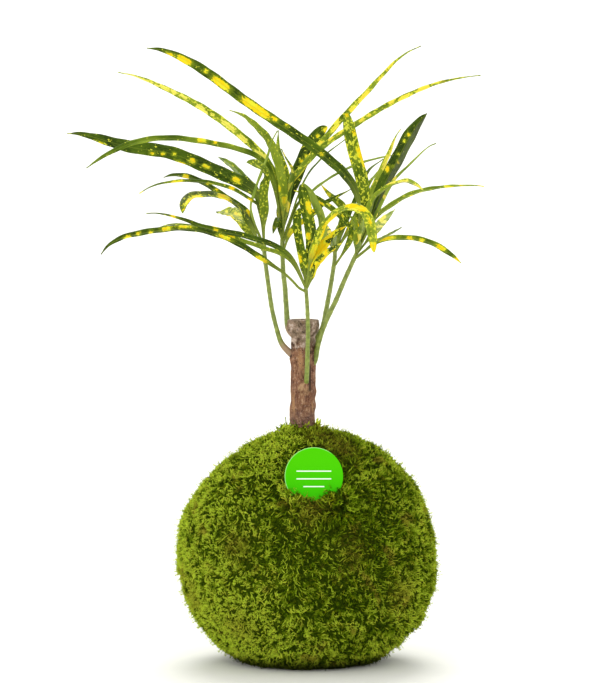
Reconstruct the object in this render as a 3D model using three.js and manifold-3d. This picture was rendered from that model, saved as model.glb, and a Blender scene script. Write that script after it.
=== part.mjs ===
// A kokedama: a moss-wrapped soil ball with a sawn woody cutting, five leafy
// croton shoots and a round write-on plant label. Millimetres, +Z up, the front
// is -Y, and the plant rests on the flat spot under the moss at Z = 0.
import * as THREE from 'three';
import { mergeVertices } from 'three/addons/utils/BufferGeometryUtils.js';
import Module from 'manifold-3d';

const wasm = await Module();
wasm.setup();

// ---- driving dimensions ----------------------------------------------------
const GAP = 0.3; // clearance between neighbouring pieces

const BALL = {
  centreZ: 53, radius: 63.4, tuft: 2.2, lean: 0.9, tipShare: 0.42, leastTip: 0.35, detail: 13, seed: 17,
};
// Broad swellings of the ball: direction, height, how sharply each falls off.
const SWELLINGS = [
  [[0.62, -0.1, 0.78], 1, 7],
  [[-0.72, 0, 0.69], -1.8, 9],
  [[-0.93, -0.1, 0.3], 1.2, 12],
  [[-0.85, -0.1, -0.5], 0.8, 9],
  [[0.92, -0.1, -0.38], 1.4, 10],
  [[0.1, 0.9, 0.3], 1.6, 6],
  [[-0.04, 0, 1], 1.4, 60],
];
const SOIL = { radius: 51.5, bottomZ: 9, centreZ: 54, lump: 0.5, detail: 5 };

const TRUNK = {
  x: -2, footZ: 66, mossZ: 119, topZ: 171.8, radius: 6.05, sides: 22,
  bark: 0.1, footTaper: 1.8, rings: 17, buriedHeights: [69, 90, 104, 114],
};
// The trunk thickens below its cut and where it leaves the moss: extra radius,
// between which two heights it grows.
const FLARES = { callus: [1.3, 160.5, 166], foot: [0.45, 126, 118] };
// The sawn top: how much its edge is rounded off, and how uneven the cut is.
const CUT = { edge: 0.6, round: 0.7, uneven: 0.25 };
// Knots, burrs and the callus at the cut: height, bearing in degrees, rise, spread.
const KNOTS = [
  [167, 10, 1.2, 4],
  [165, 190, 0.9, 4],
  [160, -95, 0.7, 3.5],
  [153, 180, 0.9, 3],
  [150, 0, 0.6, 4],
  [138.5, -92, 1.3, 3.5],
  [136, -10, 0.9, 2.5],
  [128.5, 5, 0.8, 2.5],
  [126, 170, 0.5, 4],
  [124, 95, 0.8, 4],
  [150, 90, 0.9, 4],
];
// Ripples in the bark: height, waves around the trunk, waves for each mm up, phase.
const RIPPLES = [
  [0.28, 5, 0.09, 0],
  [0.2, 9, -0.23, 1],
  [0.2, 2, 0.8, 0],
];
// How far above the trunk's foot the roots start, the shares of their reach and
// drop that they pass through, and how much they thin out on the way.
const ROOT = {
  top: 7, bends: [[0.1, -0.15], [0.35, 0.05], [0.75, 0.5], [1, 1]], taper: 0.6, steps: 6, sides: 6,
};
// Roots under the soil's top: bearing in degrees, reach, drop, root radius.
const ROOTS = [
  [20, 22, 22, 2.2],
  [110, 24, 18, 2],
  [200, 20, 24, 2.2],
  [290, 23, 16, 1.9],
];

const LABEL = {
  radius: 14.35, thickness: 1, rim: 0.25, sides: 48, tiltDegrees: 10, centre: [3.3, -50.4, 98.3],
  stakeWidth: 8, stakeTip: 3, stakeLength: 26, stakeInside: 5.7, stakeShoulder: 2, stakePoint: 2,
  stakeThinner: 0.1,
};

// ---- the front view --------------------------------------------------------
// Shoots and leaves are laid out as they look from the front, from an eye this
// far away and a little above: [across, up] in mm, with the depth behind the
// trunk's plane given separately. `place` turns them into the part's own frame.
const EYE = { distance: 2500, tilt: THREE.MathUtils.degToRad(4.5), x: -3.5, z: 160.8, up: 159.65 };

function place(across, up, depth) {
  const sin = Math.sin(EYE.tilt), cos = Math.cos(EYE.tilt);
  const u = across - EYE.x, v = up - EYE.up;
  const rise = (v * (1 + (depth * cos) / EYE.distance) - depth * sin) / (cos + (v * sin) / EYE.distance);
  const run = u * (1 + (depth * cos - rise * sin) / EYE.distance);
  return new THREE.Vector3(EYE.x + run, depth, EYE.z + rise);
}

// ---- shoots ----------------------------------------------------------------
// Each stem: its [across, up, depth] points from inside the trunk to the head.
// Each leaf: where it leaves the stem (1 is the head), blade width, the way its
// upper side faces, [across, up] points, depth at its start, middle and end,
// and its tip, where that isn't 'pointed'.
const SHOOTS = {
  shoot_left: {
    foot: 1.5, head: 1.15,
    stem: [[-4.5, 151, 0], [-9, 154.5, 0], [-12.8, 159, -0.5], [-15.1, 165.8, -1], [-17.5, 175.8, -2],
      [-19.1, 186.5, -3], [-21.1, 201.8, -4], [-21.5, 209.8, -5]],
    leaves: [
      [0.97, 7.2, [0.1, -0.92, 0.4], [[-22.5, 230.3], [-26, 235.3], [-34, 239.5], [-46.5, 244.8],
        [-59.5, 250.8], [-72.5, 255], [-85.5, 255.8], [-98.5, 259.3], [-111.5, 263.8], [-120, 263.8]],
        [-3, 8, 8], 'strap'],
      [0.99, 3.6, [0, -0.8, 0.6], [[-24.5, 232.8], [-30.5, 240.3], [-37.3, 247.3], [-44.3, 252]],
        [-2, 20, 42], 'strap'],
      [1, 5.2, [0.2, 0.85, 0.5], [[-21.5, 222.8], [-22, 235.3], [-20.5, 242.8], [-22.5, 246.3],
        [-25.5, 248.3], [-30, 249.3]], [-8, -24, -38], 'blunt'],
      [0.95, 3.2, [0, -0.75, 0.65], [[-29.5, 224], [-38, 230], [-46, 235.3], [-52.8, 239.5], [-60.5, 242.5],
        [-67.5, 242.9], [-71.7, 241.8]], [-2, 12, 24], 'strap'],
      [0.98, 3.2, [0, -0.6, 0.8], [[-22.5, 226.3], [-25.5, 228.3], [-29.5, 231.3], [-38, 236.3],
        [-47.5, 238.8], [-58, 239.9], [-68.3, 239.5], [-77, 237.8], [-83.8, 233.8]], [-8, -22, -34]],
      [0.93, 5, [0, -0.7, 0.7], [[-31.2, 222.3], [-36.5, 228.3], [-42.5, 231.8], [-51, 233],
        [-58, 232.3], [-61.5, 229.3], [-62.2, 224]], [-12, -36, -54], 'blunt'],
      [0.9, 8.4, [0.1, -0.9, 0.4], [[-31.2, 219.8], [-37.3, 223.3], [-43.3, 224.8]], [4, 24, 46], 'blunt'],
      [0.96, 3.6, [1, 0.1, 0.3], [[-28.5, 225.5], [-26.5, 234.3], [-23, 244.8], [-19.8, 252.3],
        [-18.5, 258], [-14.7, 265]], [-8, -13, -22]],
    ],
  },
  shoot_back: {
    foot: 1.45, head: 1.15,
    stem: [[-5.5, 162, 1.5], [-9.3, 166.8, 4.5], [-10.4, 177.8, 8], [-11, 186.5, 11],
      [-11.8, 193.8, 13], [-12.2, 201.8, 15.5], [-12.4, 211.3, 18]],
    leaves: [
      [0.98, 4.4, [0.25, -0.85, 0.45], [[-14.5, 235.3], [-17, 244.8], [-22.5, 253], [-29.5, 259.3],
        [-42.5, 269.8], [-55.5, 278.3], [-72.5, 286.8], [-83.8, 292], [-94.5, 294.3]], [18, 21, 30], 'long'],
      [0.97, 3.5, [0, -0.8, 0.6], [[-15.5, 235.3], [-19.5, 247.8], [-25, 252.8], [-38, 256.8],
        [-51, 259.3], [-66.5, 261.5], [-77, 261], [-89.8, 258.4], [-102.7, 251.6], [-110.3, 246.4]],
        [13, -8, -22], 'strap'],
      [1, 6.3, [0.4, 0.75, 0.5], [[-12, 235.3], [-15, 250.3], [-18.5, 258.3], [-20.8, 262.4],
        [-29.5, 270.8], [-33.5, 273.4], [-38.5, 275.3]], [13, 0, -22]],
      [0.99, 4.8, [0.4, 0.8, 0.4], [[-10, 235.3], [-12, 247.8], [-14.5, 255.3], [-14.3, 265.3]],
        [19, 26, 40]],
      [0.96, 3, [1, 0, 0.2], [[-13, 226], [-13.1, 237.3], [-13.8, 248.3]], [24, 38, 56]],
      [0.94, 2.6, [1, 0.2, 0.2], [[-11.4, 226], [-11.2, 237.3], [-11.2, 246.8]], [28, 46, 66]],
      [0.9, 7, [-0.2, -0.9, 0.3], [[-12, 224.3], [-9.5, 232.8], [-4.7, 243.3], [-1, 252.3],
        [2.3, 258.8], [6, 263.8], [10, 267.3]], [22, 30, 38], 'blunt'],
      [1, 4, [-0.4, -0.75, 0.5], [[-11.5, 235.3], [-4, 243.3], [2.3, 252.3], [7.5, 258.8],
        [17.5, 270.8], [29.5, 283.4], [38, 292.9], [46.8, 302.4], [57, 307.5]], [18, 19, 24], 'long'],
      [0.99, 3.6, [-0.4, -0.75, 0.5], [[-10.5, 236.3], [-0.3, 248.3], [6.3, 255.8], [12.3, 260.3],
        [21, 265.8], [38, 276.5], [51, 283], [64, 288.6], [77, 291.6], [86.8, 292.8]], [14, 10, 2], 'long'],
      [0.97, 2.6, [-0.6, 0.1, 0.75], [[-1.5, 239.8], [6.5, 250.3], [10.5, 254.3], [19, 260.8]],
        [24, 38, 52]],
      [0.93, 3, [0, 0, 1], [[-4.5, 228.8], [2, 233.8], [8.3, 239.3], [19, 245.5], [28.5, 249.3],
        [33.5, 250.8], [43, 253]], [22, 36, 52], 'strap'],
      [0.85, 3.6, [-0.3, -0.8, 0.5], [[-8, 214.8], [-1.5, 219.8], [3, 223.3], [8, 228.3], [17.5, 233.3],
        [22.5, 236.3]], [16, 14, 15]],
      [0.95, 2.8, [0, -0.6, 0.6], [[-14.2, 220], [-14.7, 221], [-16, 217], [-17, 213.8]],
        [14, 6, 0], 'strap'],
      [1, 3.2, [0.6, 0.6, 0.4], [[-9, 236], [-7, 244.3], [-9.8, 249.8], [-12.7, 256]], [15, 6, -8]],
    ],
  },
  shoot_front: {
    foot: 1.3, head: 1,
    stem: [[-0.6, 136.5, -3], [-0.2, 140.8, -6.6], [0.2, 151, -8.7], [0.5, 164.3, -11.5],
      [0.2, 175.3, -14.5], [-0.2, 181.8, -17], [-0.7, 187.3, -20]],
    leaves: [
      [0.97, 3.8, [0, -0.7, 0.7], [[-4, 195.3], [-6.5, 200.8], [-10.8, 204.3], [-14.5, 206.8],
        [-25.5, 210.6], [-35.5, 213.3], [-46.5, 215.3], [-55.5, 218], [-64, 221.4], [-73.5, 223.8],
        [-80.3, 223.8]], [-23, -32, -40]],
      [0.94, 3.9, [0, -0.7, 0.7], [[-5.5, 187.3], [-8, 191.3], [-12.3, 194.8], [-21, 199.8],
        [-29.5, 205.5], [-38, 210.3], [-46.5, 213.3], [-55.5, 215.8], [-65, 216.3], [-75, 215],
        [-85.5, 213.3], [-94, 211.5], [-99.3, 207.8], [-103, 203.3]], [-22, -40, -56], 'strap'],
      [0.98, 3.2, [0, -0.6, 0.75], [[-4.5, 194.3], [-9.3, 201.8], [-21, 205.8], [-33.5, 210.3],
        [-42.5, 212.8], [-55.5, 216.8], [-66.5, 218.8], [-75, 216.3]], [-21, -24, -29]],
      [1, 5.3, [0, -0.7, 0.7], [[0.5, 192.8], [2.4, 204], [5.2, 209.5], [8, 216.8], [12.3, 221.6],
        [17, 225.4], [21.8, 226.8], [26.5, 226.3], [29.8, 223.3], [31.5, 219.8], [32.5, 214.3],
        [33, 208.8], [33.5, 204.3]], [-22, -46, -58], 'blunt'],
      [0.97, 4.3, [0, -1, 0.2], [[-1.5, 197.3], [-3, 205.3], [-4.5, 213.3], [-5, 219.8], [-3.8, 226.3]],
        [-22, -30, -38], 'blunt'],
      [0.99, 5.8, [0, -1, 0.2], [[0.5, 192.3], [2.3, 206.3], [2, 213.3], [1, 219.8], [-0.5, 226.3],
        [-1.8, 232.8], [-3, 238.3]], [-20, -15, -12], 'blunt'],
      [0.98, 4.6, [0.2, 0.85, 0.5], [[4.5, 198], [7.5, 210.3], [7.5, 219.8], [4.5, 227.3], [1, 234.3],
        [-2.5, 238.8]], [-18, -6, -3], 'blunt'],
      [0.99, 6, [-0.3, -0.8, 0.5], [[2.5, 196], [6.5, 204.3], [11, 210.3], [15.5, 214.8],
        [19.3, 217.3]], [-24, -30, -38]],
      [0.96, 5.5, [-0.3, -0.8, 0.5], [[3, 192.8], [5.5, 198.3], [9, 202.3], [13.8, 206.3], [17, 208.8]],
        [-24, -38, -54]],
    ],
  },
  shoot_right_inner: {
    foot: 1.4, head: 1.1,
    stem: [[0.8, 157, 1], [4.8, 161.3, 3.5], [7.8, 166.8, 6.5], [9.3, 173.8, 9.5], [10.5, 180.3, 12.5],
      [12, 188.5, 15.5], [13.7, 199.8, 20], [14, 204.8, 22]],
    leaves: [
      [1, 4.2, [-0.3, -0.8, 0.4], [[17, 216.3], [19, 225.3], [14.5, 230.3], [11, 233.3], [6.5, 238.8]],
        [26, 32, 40]],
      [0.84, 3.4, [0, -0.75, 0.6], [[17.5, 203], [22.2, 211.3], [21.9, 215.8], [18.9, 219.8],
        [12.5, 225.8], [6, 230.5], [-0.3, 233.1], [-6.5, 235.3]], [17, 7, 7], 'strap'],
      [1, 2.6, [-0.2, -0.5, 0.8], [[22, 225], [30, 243.8], [38, 251]], [28, 42, 58]],
      [0.98, 2.6, [-0.2, -0.5, 0.8], [[24, 222], [31.5, 239.3], [34, 242.4], [38.3, 248.8]],
        [27, 35, 46]],
      [0.99, 3.7, [-0.2, -0.9, 0.3], [[25, 221], [35.5, 240.3], [39, 250.3], [41, 252.8], [43.5, 260.8],
        [46.8, 265.8]], [22, 22, 30]],
      [0.97, 4, [0, -0.5, 0.8], [[14.5, 212], [17, 217], [19, 221]], [36, 56, 78]],
      [0.94, 4, [0, -0.5, 0.8], [[12, 210], [9.5, 216], [8, 219]], [34, 54, 74]],
    ],
  },
  shoot_right_outer: {
    foot: 1.5, head: 1.15,
    stem: [[0.2, 144.5, -1], [3.8, 149.8, -1.2], [5.2, 156.8, -2], [6.5, 161.8, -3], [8.6, 167.8, -3.5],
      [11.8, 174.8, -4], [14.5, 180.3, -4], [18.8, 190.5, -3.5], [24.8, 203.8, -2]],
    leaves: [
      [1, 5.9, [0.2, -0.9, 0.37], [[27, 226.3], [25.5, 232.3], [23, 238.3], [20, 242.8], [12.5, 249],
        [1, 258.4], [-13.5, 267.9], [-34, 281.8], [-51, 294.8], [-68.3, 304.3], [-80, 306.4]],
        [-6, -26, -36], 'strap'],
      [0.99, 6.5, [0, -1, 0.1], [[28, 227.3], [27.9, 238.8], [25.3, 248.3], [22.7, 258], [20.8, 267.5],
        [19.8, 274.3]], [-2, 0, -3], 'blunt'],
      [0.98, 7, [-0.3, -0.9, 0.2], [[32, 221.8], [37.5, 235.3], [40.8, 242.8], [45, 249.8],
        [50.2, 260.3], [55.5, 268.8], [60, 273.8]], [0, 6, 12], 'strap'],
      [0.99, 1.8, [0.3, 0.3, 0.9], [[34, 222], [41.5, 237.3], [45, 242.3], [48.5, 245.3], [55.5, 252.3],
        [60, 256.8], [64.5, 258.8]], [-6, -15, -28]],
      [0.97, 3.8, [0.1, -0.75, 0.6], [[30.5, 224.8], [34.7, 232.8], [41.5, 237.3], [46.8, 239.5],
        [52, 239.5], [58, 235.5]], [-9, -26, -44], 'strap'],
      [0.97, 3.3, [0, -0.6, 0.8], [[32, 219.8], [36.5, 223.8], [43, 228.3], [48.5, 231.8], [54.5, 234.3],
        [64, 236.3], [72.5, 237.3], [83.8, 237.8], [88.5, 237.3]], [0, 14, 32]],
      [0.98, 4.6, [0.2, -0.6, 0.8], [[33.5, 214.3], [38, 219.8], [44, 225.8]], [6, 30, 56]],
      [0.95, 2.2, [0.2, -0.5, 0.8], [[35.2, 209.8], [42.5, 213.8], [47.2, 216.8]], [-10, -28, -50]],
      [0.95, 3.6, [0, -0.7, 0.7], [[26, 202.5], [30.5, 206.3], [35, 209.8], [40, 210.8], [48.5, 211.5],
        [58, 210.3], [65, 207.5], [71.5, 203.3], [77, 199]], [-3, -8, -15], 'strap'],
      [0.98, 3.5, [0, -0.6, 0.7], [[25, 212.8], [24.5, 217.8], [22.5, 221.3], [19, 223.8]],
        [-4, -7, -12]],
      [1, 3.7, [0, -0.7, 0.6], [[25.8, 207.3], [27, 214.3], [28, 221.8]], [-12, -22, -36]],
      [0.99, 2.8, [-0.5, -0.6, 0.5], [[31.5, 223.8], [35, 229], [39, 235]], [4, 16, 30]],
    ],
  },
};
const STEM = { steps: 12, sides: 7 };
const BLADE = {
  thickness: 0.72, petiole: 1.3, petioleShare: 0.12, fold: 0.3, tip: 0.35, widestFrom: 0.22,
  firstSteps: 4, stepEvery: 15, leastSteps: 6, mostSteps: 11, crowding: 1.25,
};
// Where a tip starts to narrow, as a share of the blade, and how round it is.
const TIPS = {
  pointed: { from: 0.5, bow: 1.5, round: 1 },
  long: { from: 0.3, bow: 2, round: 1 },
  strap: { from: 0.72, bow: 1.6, round: 0.8 },
  blunt: { from: 0.72, bow: 2, round: 0.5 },
};

// ---- helpers ---------------------------------------------------------------
// A small seeded generator, so that every run gives the same relief.
function seeded(seed) {
  let state = seed >>> 0;
  return () => {
    state = (state + 0x6d2b79f5) >>> 0;
    let t = Math.imul(state ^ (state >>> 15), 1 | state);
    t = (t + Math.imul(t ^ (t >>> 7), 61 | t)) ^ t;
    return ((t ^ (t >>> 14)) >>> 0) / 4294967296;
  };
}

function smooth(low, high, value) {
  return THREE.MathUtils.smoothstep(value, low, high);
}

function solid(geometry) {
  const bare = geometry.clone();
  bare.deleteAttribute('normal');
  bare.deleteAttribute('uv');
  const merged = mergeVertices(bare, 1e-5);
  return new wasm.Manifold(new wasm.Mesh({
    numProp: 3,
    vertProperties: new Float32Array(merged.attributes.position.array),
    triVerts: new Uint32Array(merged.index.array),
  }));
}

function toMesh(body, name, color, roughness) {
  const result = body.getMesh();
  const geometry = new THREE.BufferGeometry();
  const stride = result.numProp;
  const positions = new Float32Array((result.vertProperties.length / stride) * 3);
  for (let i = 0; i < positions.length / 3; i += 1) {
    for (let k = 0; k < 3; k += 1) positions[3 * i + k] = result.vertProperties[stride * i + k];
  }
  geometry.setAttribute('position', new THREE.BufferAttribute(positions, 3));
  geometry.setIndex(new THREE.BufferAttribute(new Uint32Array(result.triVerts), 1));
  geometry.computeVertexNormals();
  const mesh = new THREE.Mesh(geometry, new THREE.MeshStandardMaterial({ color, roughness, metalness: 0 }));
  mesh.name = name;
  return mesh;
}

// A closed loft: `rings` are loops of equally many points, the same way round.
function loft(rings) {
  const count = rings[0].length;
  const points = rings.flat();
  const index = [];
  for (let r = 0; r + 1 < rings.length; r += 1) {
    for (let i = 0; i < count; i += 1) {
      const a = r * count + i, b = r * count + ((i + 1) % count);
      index.push(a, b, b + count, a, b + count, a + count);
    }
  }
  const ends = [[0, -1], [rings.length - 1, 1]];
  for (const [ring, way] of ends) {
    const middle = points.length;
    points.push(rings[ring].reduce((sum, p) => sum.clone().add(p), new THREE.Vector3()).divideScalar(count));
    for (let i = 0; i < count; i += 1) {
      const a = ring * count + i, b = ring * count + ((i + 1) % count);
      if (way < 0) index.push(b, a, middle);
      else index.push(a, b, middle);
    }
  }
  const geometry = new THREE.BufferGeometry();
  const coordinates = points.flatMap((point) => point.toArray());
  geometry.setAttribute('position', new THREE.Float32BufferAttribute(coordinates, 3));
  geometry.setIndex(index);
  return solid(geometry);
}

function curveThrough(points) {
  return new THREE.CatmullRomCurve3(points, false, 'catmullrom', 0.5);
}

// A round tube along a curve; `radius` is a function of the share of its length.
function tube(curve, radius, steps, sides) {
  const rings = [];
  const side = new THREE.Vector3(1, 0, 0);
  for (let i = 0; i <= steps; i += 1) {
    const t = i / steps;
    const along = curve.getTangentAt(t);
    const front = new THREE.Vector3().crossVectors(along, side).normalize();
    const across = new THREE.Vector3().crossVectors(front, along).normalize();
    side.copy(across);
    const centre = curve.getPointAt(t);
    const ring = [];
    for (let k = 0; k < sides; k += 1) {
      const angle = (2 * Math.PI * k) / sides;
      ring.push(centre.clone()
        .addScaledVector(across, radius(t) * Math.cos(angle))
        .addScaledVector(front, radius(t) * Math.sin(angle)));
    }
    rings.push(ring);
  }
  return loft(rings);
}

// ---- the ball --------------------------------------------------------------
function swelling(direction) {
  return SWELLINGS.reduce((sum, [way, height, sharpness]) => {
    const cosine = direction.dot(new THREE.Vector3(...way).normalize());
    return sum + height * Math.exp(sharpness * (cosine - 1));
  }, 0);
}

// The moss outside: every lattice point is a tuft tip or a hollow between tufts.
function mossOutside() {
  const random = seeded(BALL.seed);
  const bare = new THREE.IcosahedronGeometry(1, BALL.detail);
  bare.deleteAttribute('normal');
  bare.deleteAttribute('uv');
  const ball = mergeVertices(bare, 1e-5);
  const position = ball.attributes.position;
  const way = new THREE.Vector3(), lean = new THREE.Vector3();
  for (let i = 0; i < position.count; i += 1) {
    way.fromBufferAttribute(position, i).normalize();
    const isTip = random() < BALL.tipShare;
    const tuft = (isTip ? THREE.MathUtils.lerp(BALL.leastTip, 1, random()) : -random()) * BALL.tuft;
    lean.set(random() - 0.5, random() - 0.5, random() - 0.5).multiplyScalar(2 * BALL.lean);
    lean.addScaledVector(way, -lean.dot(way));
    const radius = BALL.radius + swelling(way) + tuft;
    way.multiplyScalar(radius).add(lean);
    position.setXYZ(i, way.x, way.y, way.z + BALL.centreZ);
  }
  return solid(ball).subtract(allBelow(0));
}

// A block that takes away everything under a height.
function allBelow(z) {
  const size = 4 * BALL.radius;
  return solid(new THREE.BoxGeometry(size, size, size)).translate([0, 0, z - size / 2]);
}

// The soil ball, and with a clearance the hollow that it sits in.
function soilShape(clearance) {
  const ball = new THREE.IcosahedronGeometry(1, SOIL.detail);
  const position = ball.attributes.position;
  const way = new THREE.Vector3();
  for (let i = 0; i < position.count; i += 1) {
    way.fromBufferAttribute(position, i).normalize();
    const lump = Math.sin(9 * way.x + 2) * Math.sin(8 * way.y) + 0.8 * Math.sin(11 * way.z + 3 * way.x);
    way.multiplyScalar(SOIL.radius + SOIL.lump * lump + clearance);
    position.setXYZ(i, way.x, way.y, way.z + SOIL.centreZ);
  }
  return solid(ball).subtract(allBelow(SOIL.bottomZ - clearance));
}

// ---- the trunk -------------------------------------------------------------
function flare([extra, from, to], z) {
  const grown = from < to ? smooth(from, to, z) : 1 - smooth(to, from, z);
  return extra * grown;
}

function trunkRadius(z, bearing) {
  const bark = smooth(TRUNK.mossZ, TRUNK.mossZ + 4, z);
  let radius = TRUNK.radius - TRUNK.bark + flare(FLARES.callus, z);
  radius += bark * flare(FLARES.foot, z);
  for (const [height, around, upward, phase] of RIPPLES) {
    radius += bark * height * Math.sin(around * bearing + upward * z + phase);
  }
  for (const [height, degrees, rise, spread] of KNOTS) {
    const turn = bearing - THREE.MathUtils.degToRad(degrees);
    const arc = Math.atan2(Math.sin(turn), Math.cos(turn)) * TRUNK.radius;
    radius += rise * Math.exp(-((z - height) ** 2 + arc ** 2) / spread ** 2);
  }
  return radius;
}

function rootTube([degrees, reach, drop, thickness], clearance) {
  const angle = THREE.MathUtils.degToRad(degrees);
  const curve = curveThrough(ROOT.bends.map(([out, down]) => new THREE.Vector3(
    TRUNK.x + out * reach * Math.cos(angle),
    out * reach * Math.sin(angle),
    TRUNK.footZ + ROOT.top - down * drop,
  )));
  return tube(curve, (t) => thickness * (1 - ROOT.taper * t) + clearance, ROOT.steps, ROOT.sides);
}

function trunkRing(z, shrink = 0, uneven = 0) {
  const ring = [];
  for (let k = 0; k < TRUNK.sides; k += 1) {
    const bearing = (2 * Math.PI * k) / TRUNK.sides;
    const radius = trunkRadius(z, bearing) - shrink;
    const top = z + uneven * Math.sin(3 * bearing);
    ring.push(new THREE.Vector3(TRUNK.x + radius * Math.cos(bearing), radius * Math.sin(bearing), top));
  }
  return ring;
}

function trunkBody() {
  const shoulder = TRUNK.topZ - CUT.edge;
  const rings = [trunkRing(TRUNK.footZ, TRUNK.footTaper)];
  for (const z of [...TRUNK.buriedHeights, TRUNK.mossZ]) rings.push(trunkRing(z));
  for (let i = 1; i <= TRUNK.rings; i += 1) {
    rings.push(trunkRing(THREE.MathUtils.lerp(TRUNK.mossZ, shoulder, i / TRUNK.rings)));
  }
  rings.push(trunkRing(TRUNK.topZ, CUT.round, CUT.uneven));
  return ROOTS.reduce((body, root) => body.add(rootTube(root, 0)), loft(rings));
}

// The plain hole that the foot of the trunk and its roots stand in.
function trunkHole() {
  const radius = TRUNK.radius - TRUNK.bark + GAP;
  const height = 2 * (TRUNK.mossZ - TRUNK.footZ);
  const bore = solid(new THREE.CylinderGeometry(radius, radius, height, TRUNK.sides).rotateX(Math.PI / 2))
    .translate([TRUNK.x, 0, TRUNK.footZ - GAP + height / 2]);
  return ROOTS.reduce((hole, root) => hole.add(rootTube(root, GAP)), bore);
}

// ---- shoots and leaves -----------------------------------------------------
function stemCurve(shoot) {
  return curveThrough(shoot.stem.map(([across, up, depth]) => place(across, up, depth)));
}

function stemTube(shoot, clearance) {
  const radius = (t) => THREE.MathUtils.lerp(shoot.foot, shoot.head, t) + clearance;
  return tube(stemCurve(shoot), radius, STEM.steps, STEM.sides);
}

function leafCurve(shoot, [from, , , outline, depths]) {
  const root = stemCurve(shoot).getPointAt(from);
  const last = outline.length - 1;
  const points = outline.map(([across, up], i) => {
    const share = i / last;
    const depth = share < 0.5
      ? THREE.MathUtils.lerp(depths[0], depths[1], 2 * share)
      : THREE.MathUtils.lerp(depths[1], depths[2], 2 * share - 1);
    return place(across, up, depth);
  });
  return curveThrough([root, ...points]);
}

// Half width of a leaf at a share of its length: petiole, blade, then its tip.
function halfWidth(t, width, tip) {
  const share = (t - BLADE.petioleShare) / (1 - BLADE.petioleShare);
  if (share <= 0) return BLADE.petiole / 2;
  const swell = smooth(0, BLADE.widestFrom, share);
  const end = Math.max(0, (share - TIPS[tip].from) / (1 - TIPS[tip].from));
  const taper = (1 - end ** TIPS[tip].bow) ** TIPS[tip].round;
  const half = THREE.MathUtils.lerp(BLADE.petiole / 2, width / 2, swell) * taper;
  return Math.max(BLADE.tip, half);
}

// Where the sections of a leaf stand along its length, closer towards the tip.
function leafStops(length) {
  const wanted = Math.round(BLADE.firstSteps + length / BLADE.stepEvery);
  const steps = THREE.MathUtils.clamp(wanted, BLADE.leastSteps, BLADE.mostSteps);
  const stops = [0, BLADE.petioleShare / 2, BLADE.petioleShare];
  for (let i = 1; i <= steps - 2; i += 1) {
    const share = 1 - (1 - i / (steps - 2)) ** BLADE.crowding;
    stops.push(THREE.MathUtils.lerp(BLADE.petioleShare, 1, share));
  }
  return stops;
}

// One leaf: flat six-cornered sections, folded up a little along the midrib.
function leafBody(shoot, leaf) {
  const [, width, facing, , , tip = 'pointed'] = leaf;
  const curve = leafCurve(shoot, leaf);
  const face = new THREE.Vector3(...facing).normalize();
  const rings = leafStops(curve.getLength()).map((t) => {
    const along = curve.getTangentAt(t);
    const side = new THREE.Vector3().crossVectors(along, face).normalize();
    const up = new THREE.Vector3().crossVectors(side, along).normalize();
    const half = halfWidth(t, width, tip);
    const blade = smooth(BLADE.petioleShare * 0.9, 2 * BLADE.petioleShare, t);
    const thick = THREE.MathUtils.lerp(BLADE.petiole, BLADE.thickness, blade) / 2;
    const lift = BLADE.fold * half * blade;
    const centre = curve.getPointAt(t);
    const corners = [
      [-half, lift + thick], [0, thick], [half, lift + thick],
      [half, lift - thick], [0, -thick], [-half, lift - thick],
    ];
    return corners.map(([x, y]) => centre.clone().addScaledVector(side, x).addScaledVector(up, y));
  });
  return loft(rings);
}

function shootBody(shoot) {
  return shoot.leaves.reduce((body, leaf) => body.add(leafBody(shoot, leaf)), stemTube(shoot, 0));
}

// ---- the label -------------------------------------------------------------
// The flat stake under the disc, with a short pointed end.
function stakeBody(clearance, depth) {
  const foot = -LABEL.radius - LABEL.stakeLength - clearance;
  const shoulder = -LABEL.radius - LABEL.stakeShoulder;
  const wide = LABEL.stakeWidth / 2 + clearance;
  const narrow = LABEL.stakeTip / 2 + clearance;
  const inside = LABEL.stakeInside - LABEL.radius;
  const right = [[wide, inside], [wide, shoulder], [narrow, foot + LABEL.stakePoint]];
  const left = right.map(([x, y]) => [-x, y]).reverse();
  const outline = new THREE.Shape([...right, [0, foot], ...left].map(([x, y]) => new THREE.Vector2(x, y)));
  const stake = new THREE.ExtrudeGeometry(outline, { depth, bevelEnabled: false });
  return solid(stake.translate(0, 0, -depth / 2));
}

// The upright disc faces the front and, with its stake, leans back a little.
function labelBody(clearance) {
  const { radius, thickness, rim } = LABEL;
  const outer = radius + clearance, half = thickness / 2 + clearance;
  const profile = [
    [0, -half], [outer - rim, -half], [outer, rim - half],
    [outer, half - rim], [outer - rim, half], [0, half],
  ];
  const disc = solid(new THREE.LatheGeometry(profile.map(([x, y]) => new THREE.Vector2(x, y)), LABEL.sides));
  const stake = stakeBody(clearance, 2 * (half - LABEL.stakeThinner));
  return disc.add(stake.rotate([90, 0, 0]))
    .rotate([-LABEL.tiltDegrees, 0, 0])
    .translate(LABEL.centre);
}

// ---- assembly --------------------------------------------------------------
const shoots = Object.entries(SHOOTS);

// The main body, without the crumbs that a cut leaves beside it.
function mainBody(body) {
  return body.decompose().reduce((main, piece) => (piece.volume() > main.volume() ? piece : main));
}

const moss = mainBody(mossOutside()
  .subtract(soilShape(GAP))
  .subtract(trunkHole())
  .subtract(labelBody(GAP)));
const soil = mainBody(soilShape(0).subtract(trunkHole()));
const sockets = shoots.map(([, shoot]) => stemTube(shoot, GAP));
const trunk = mainBody(sockets.reduce((body, socket) => body.subtract(socket), trunkBody()));

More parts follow.
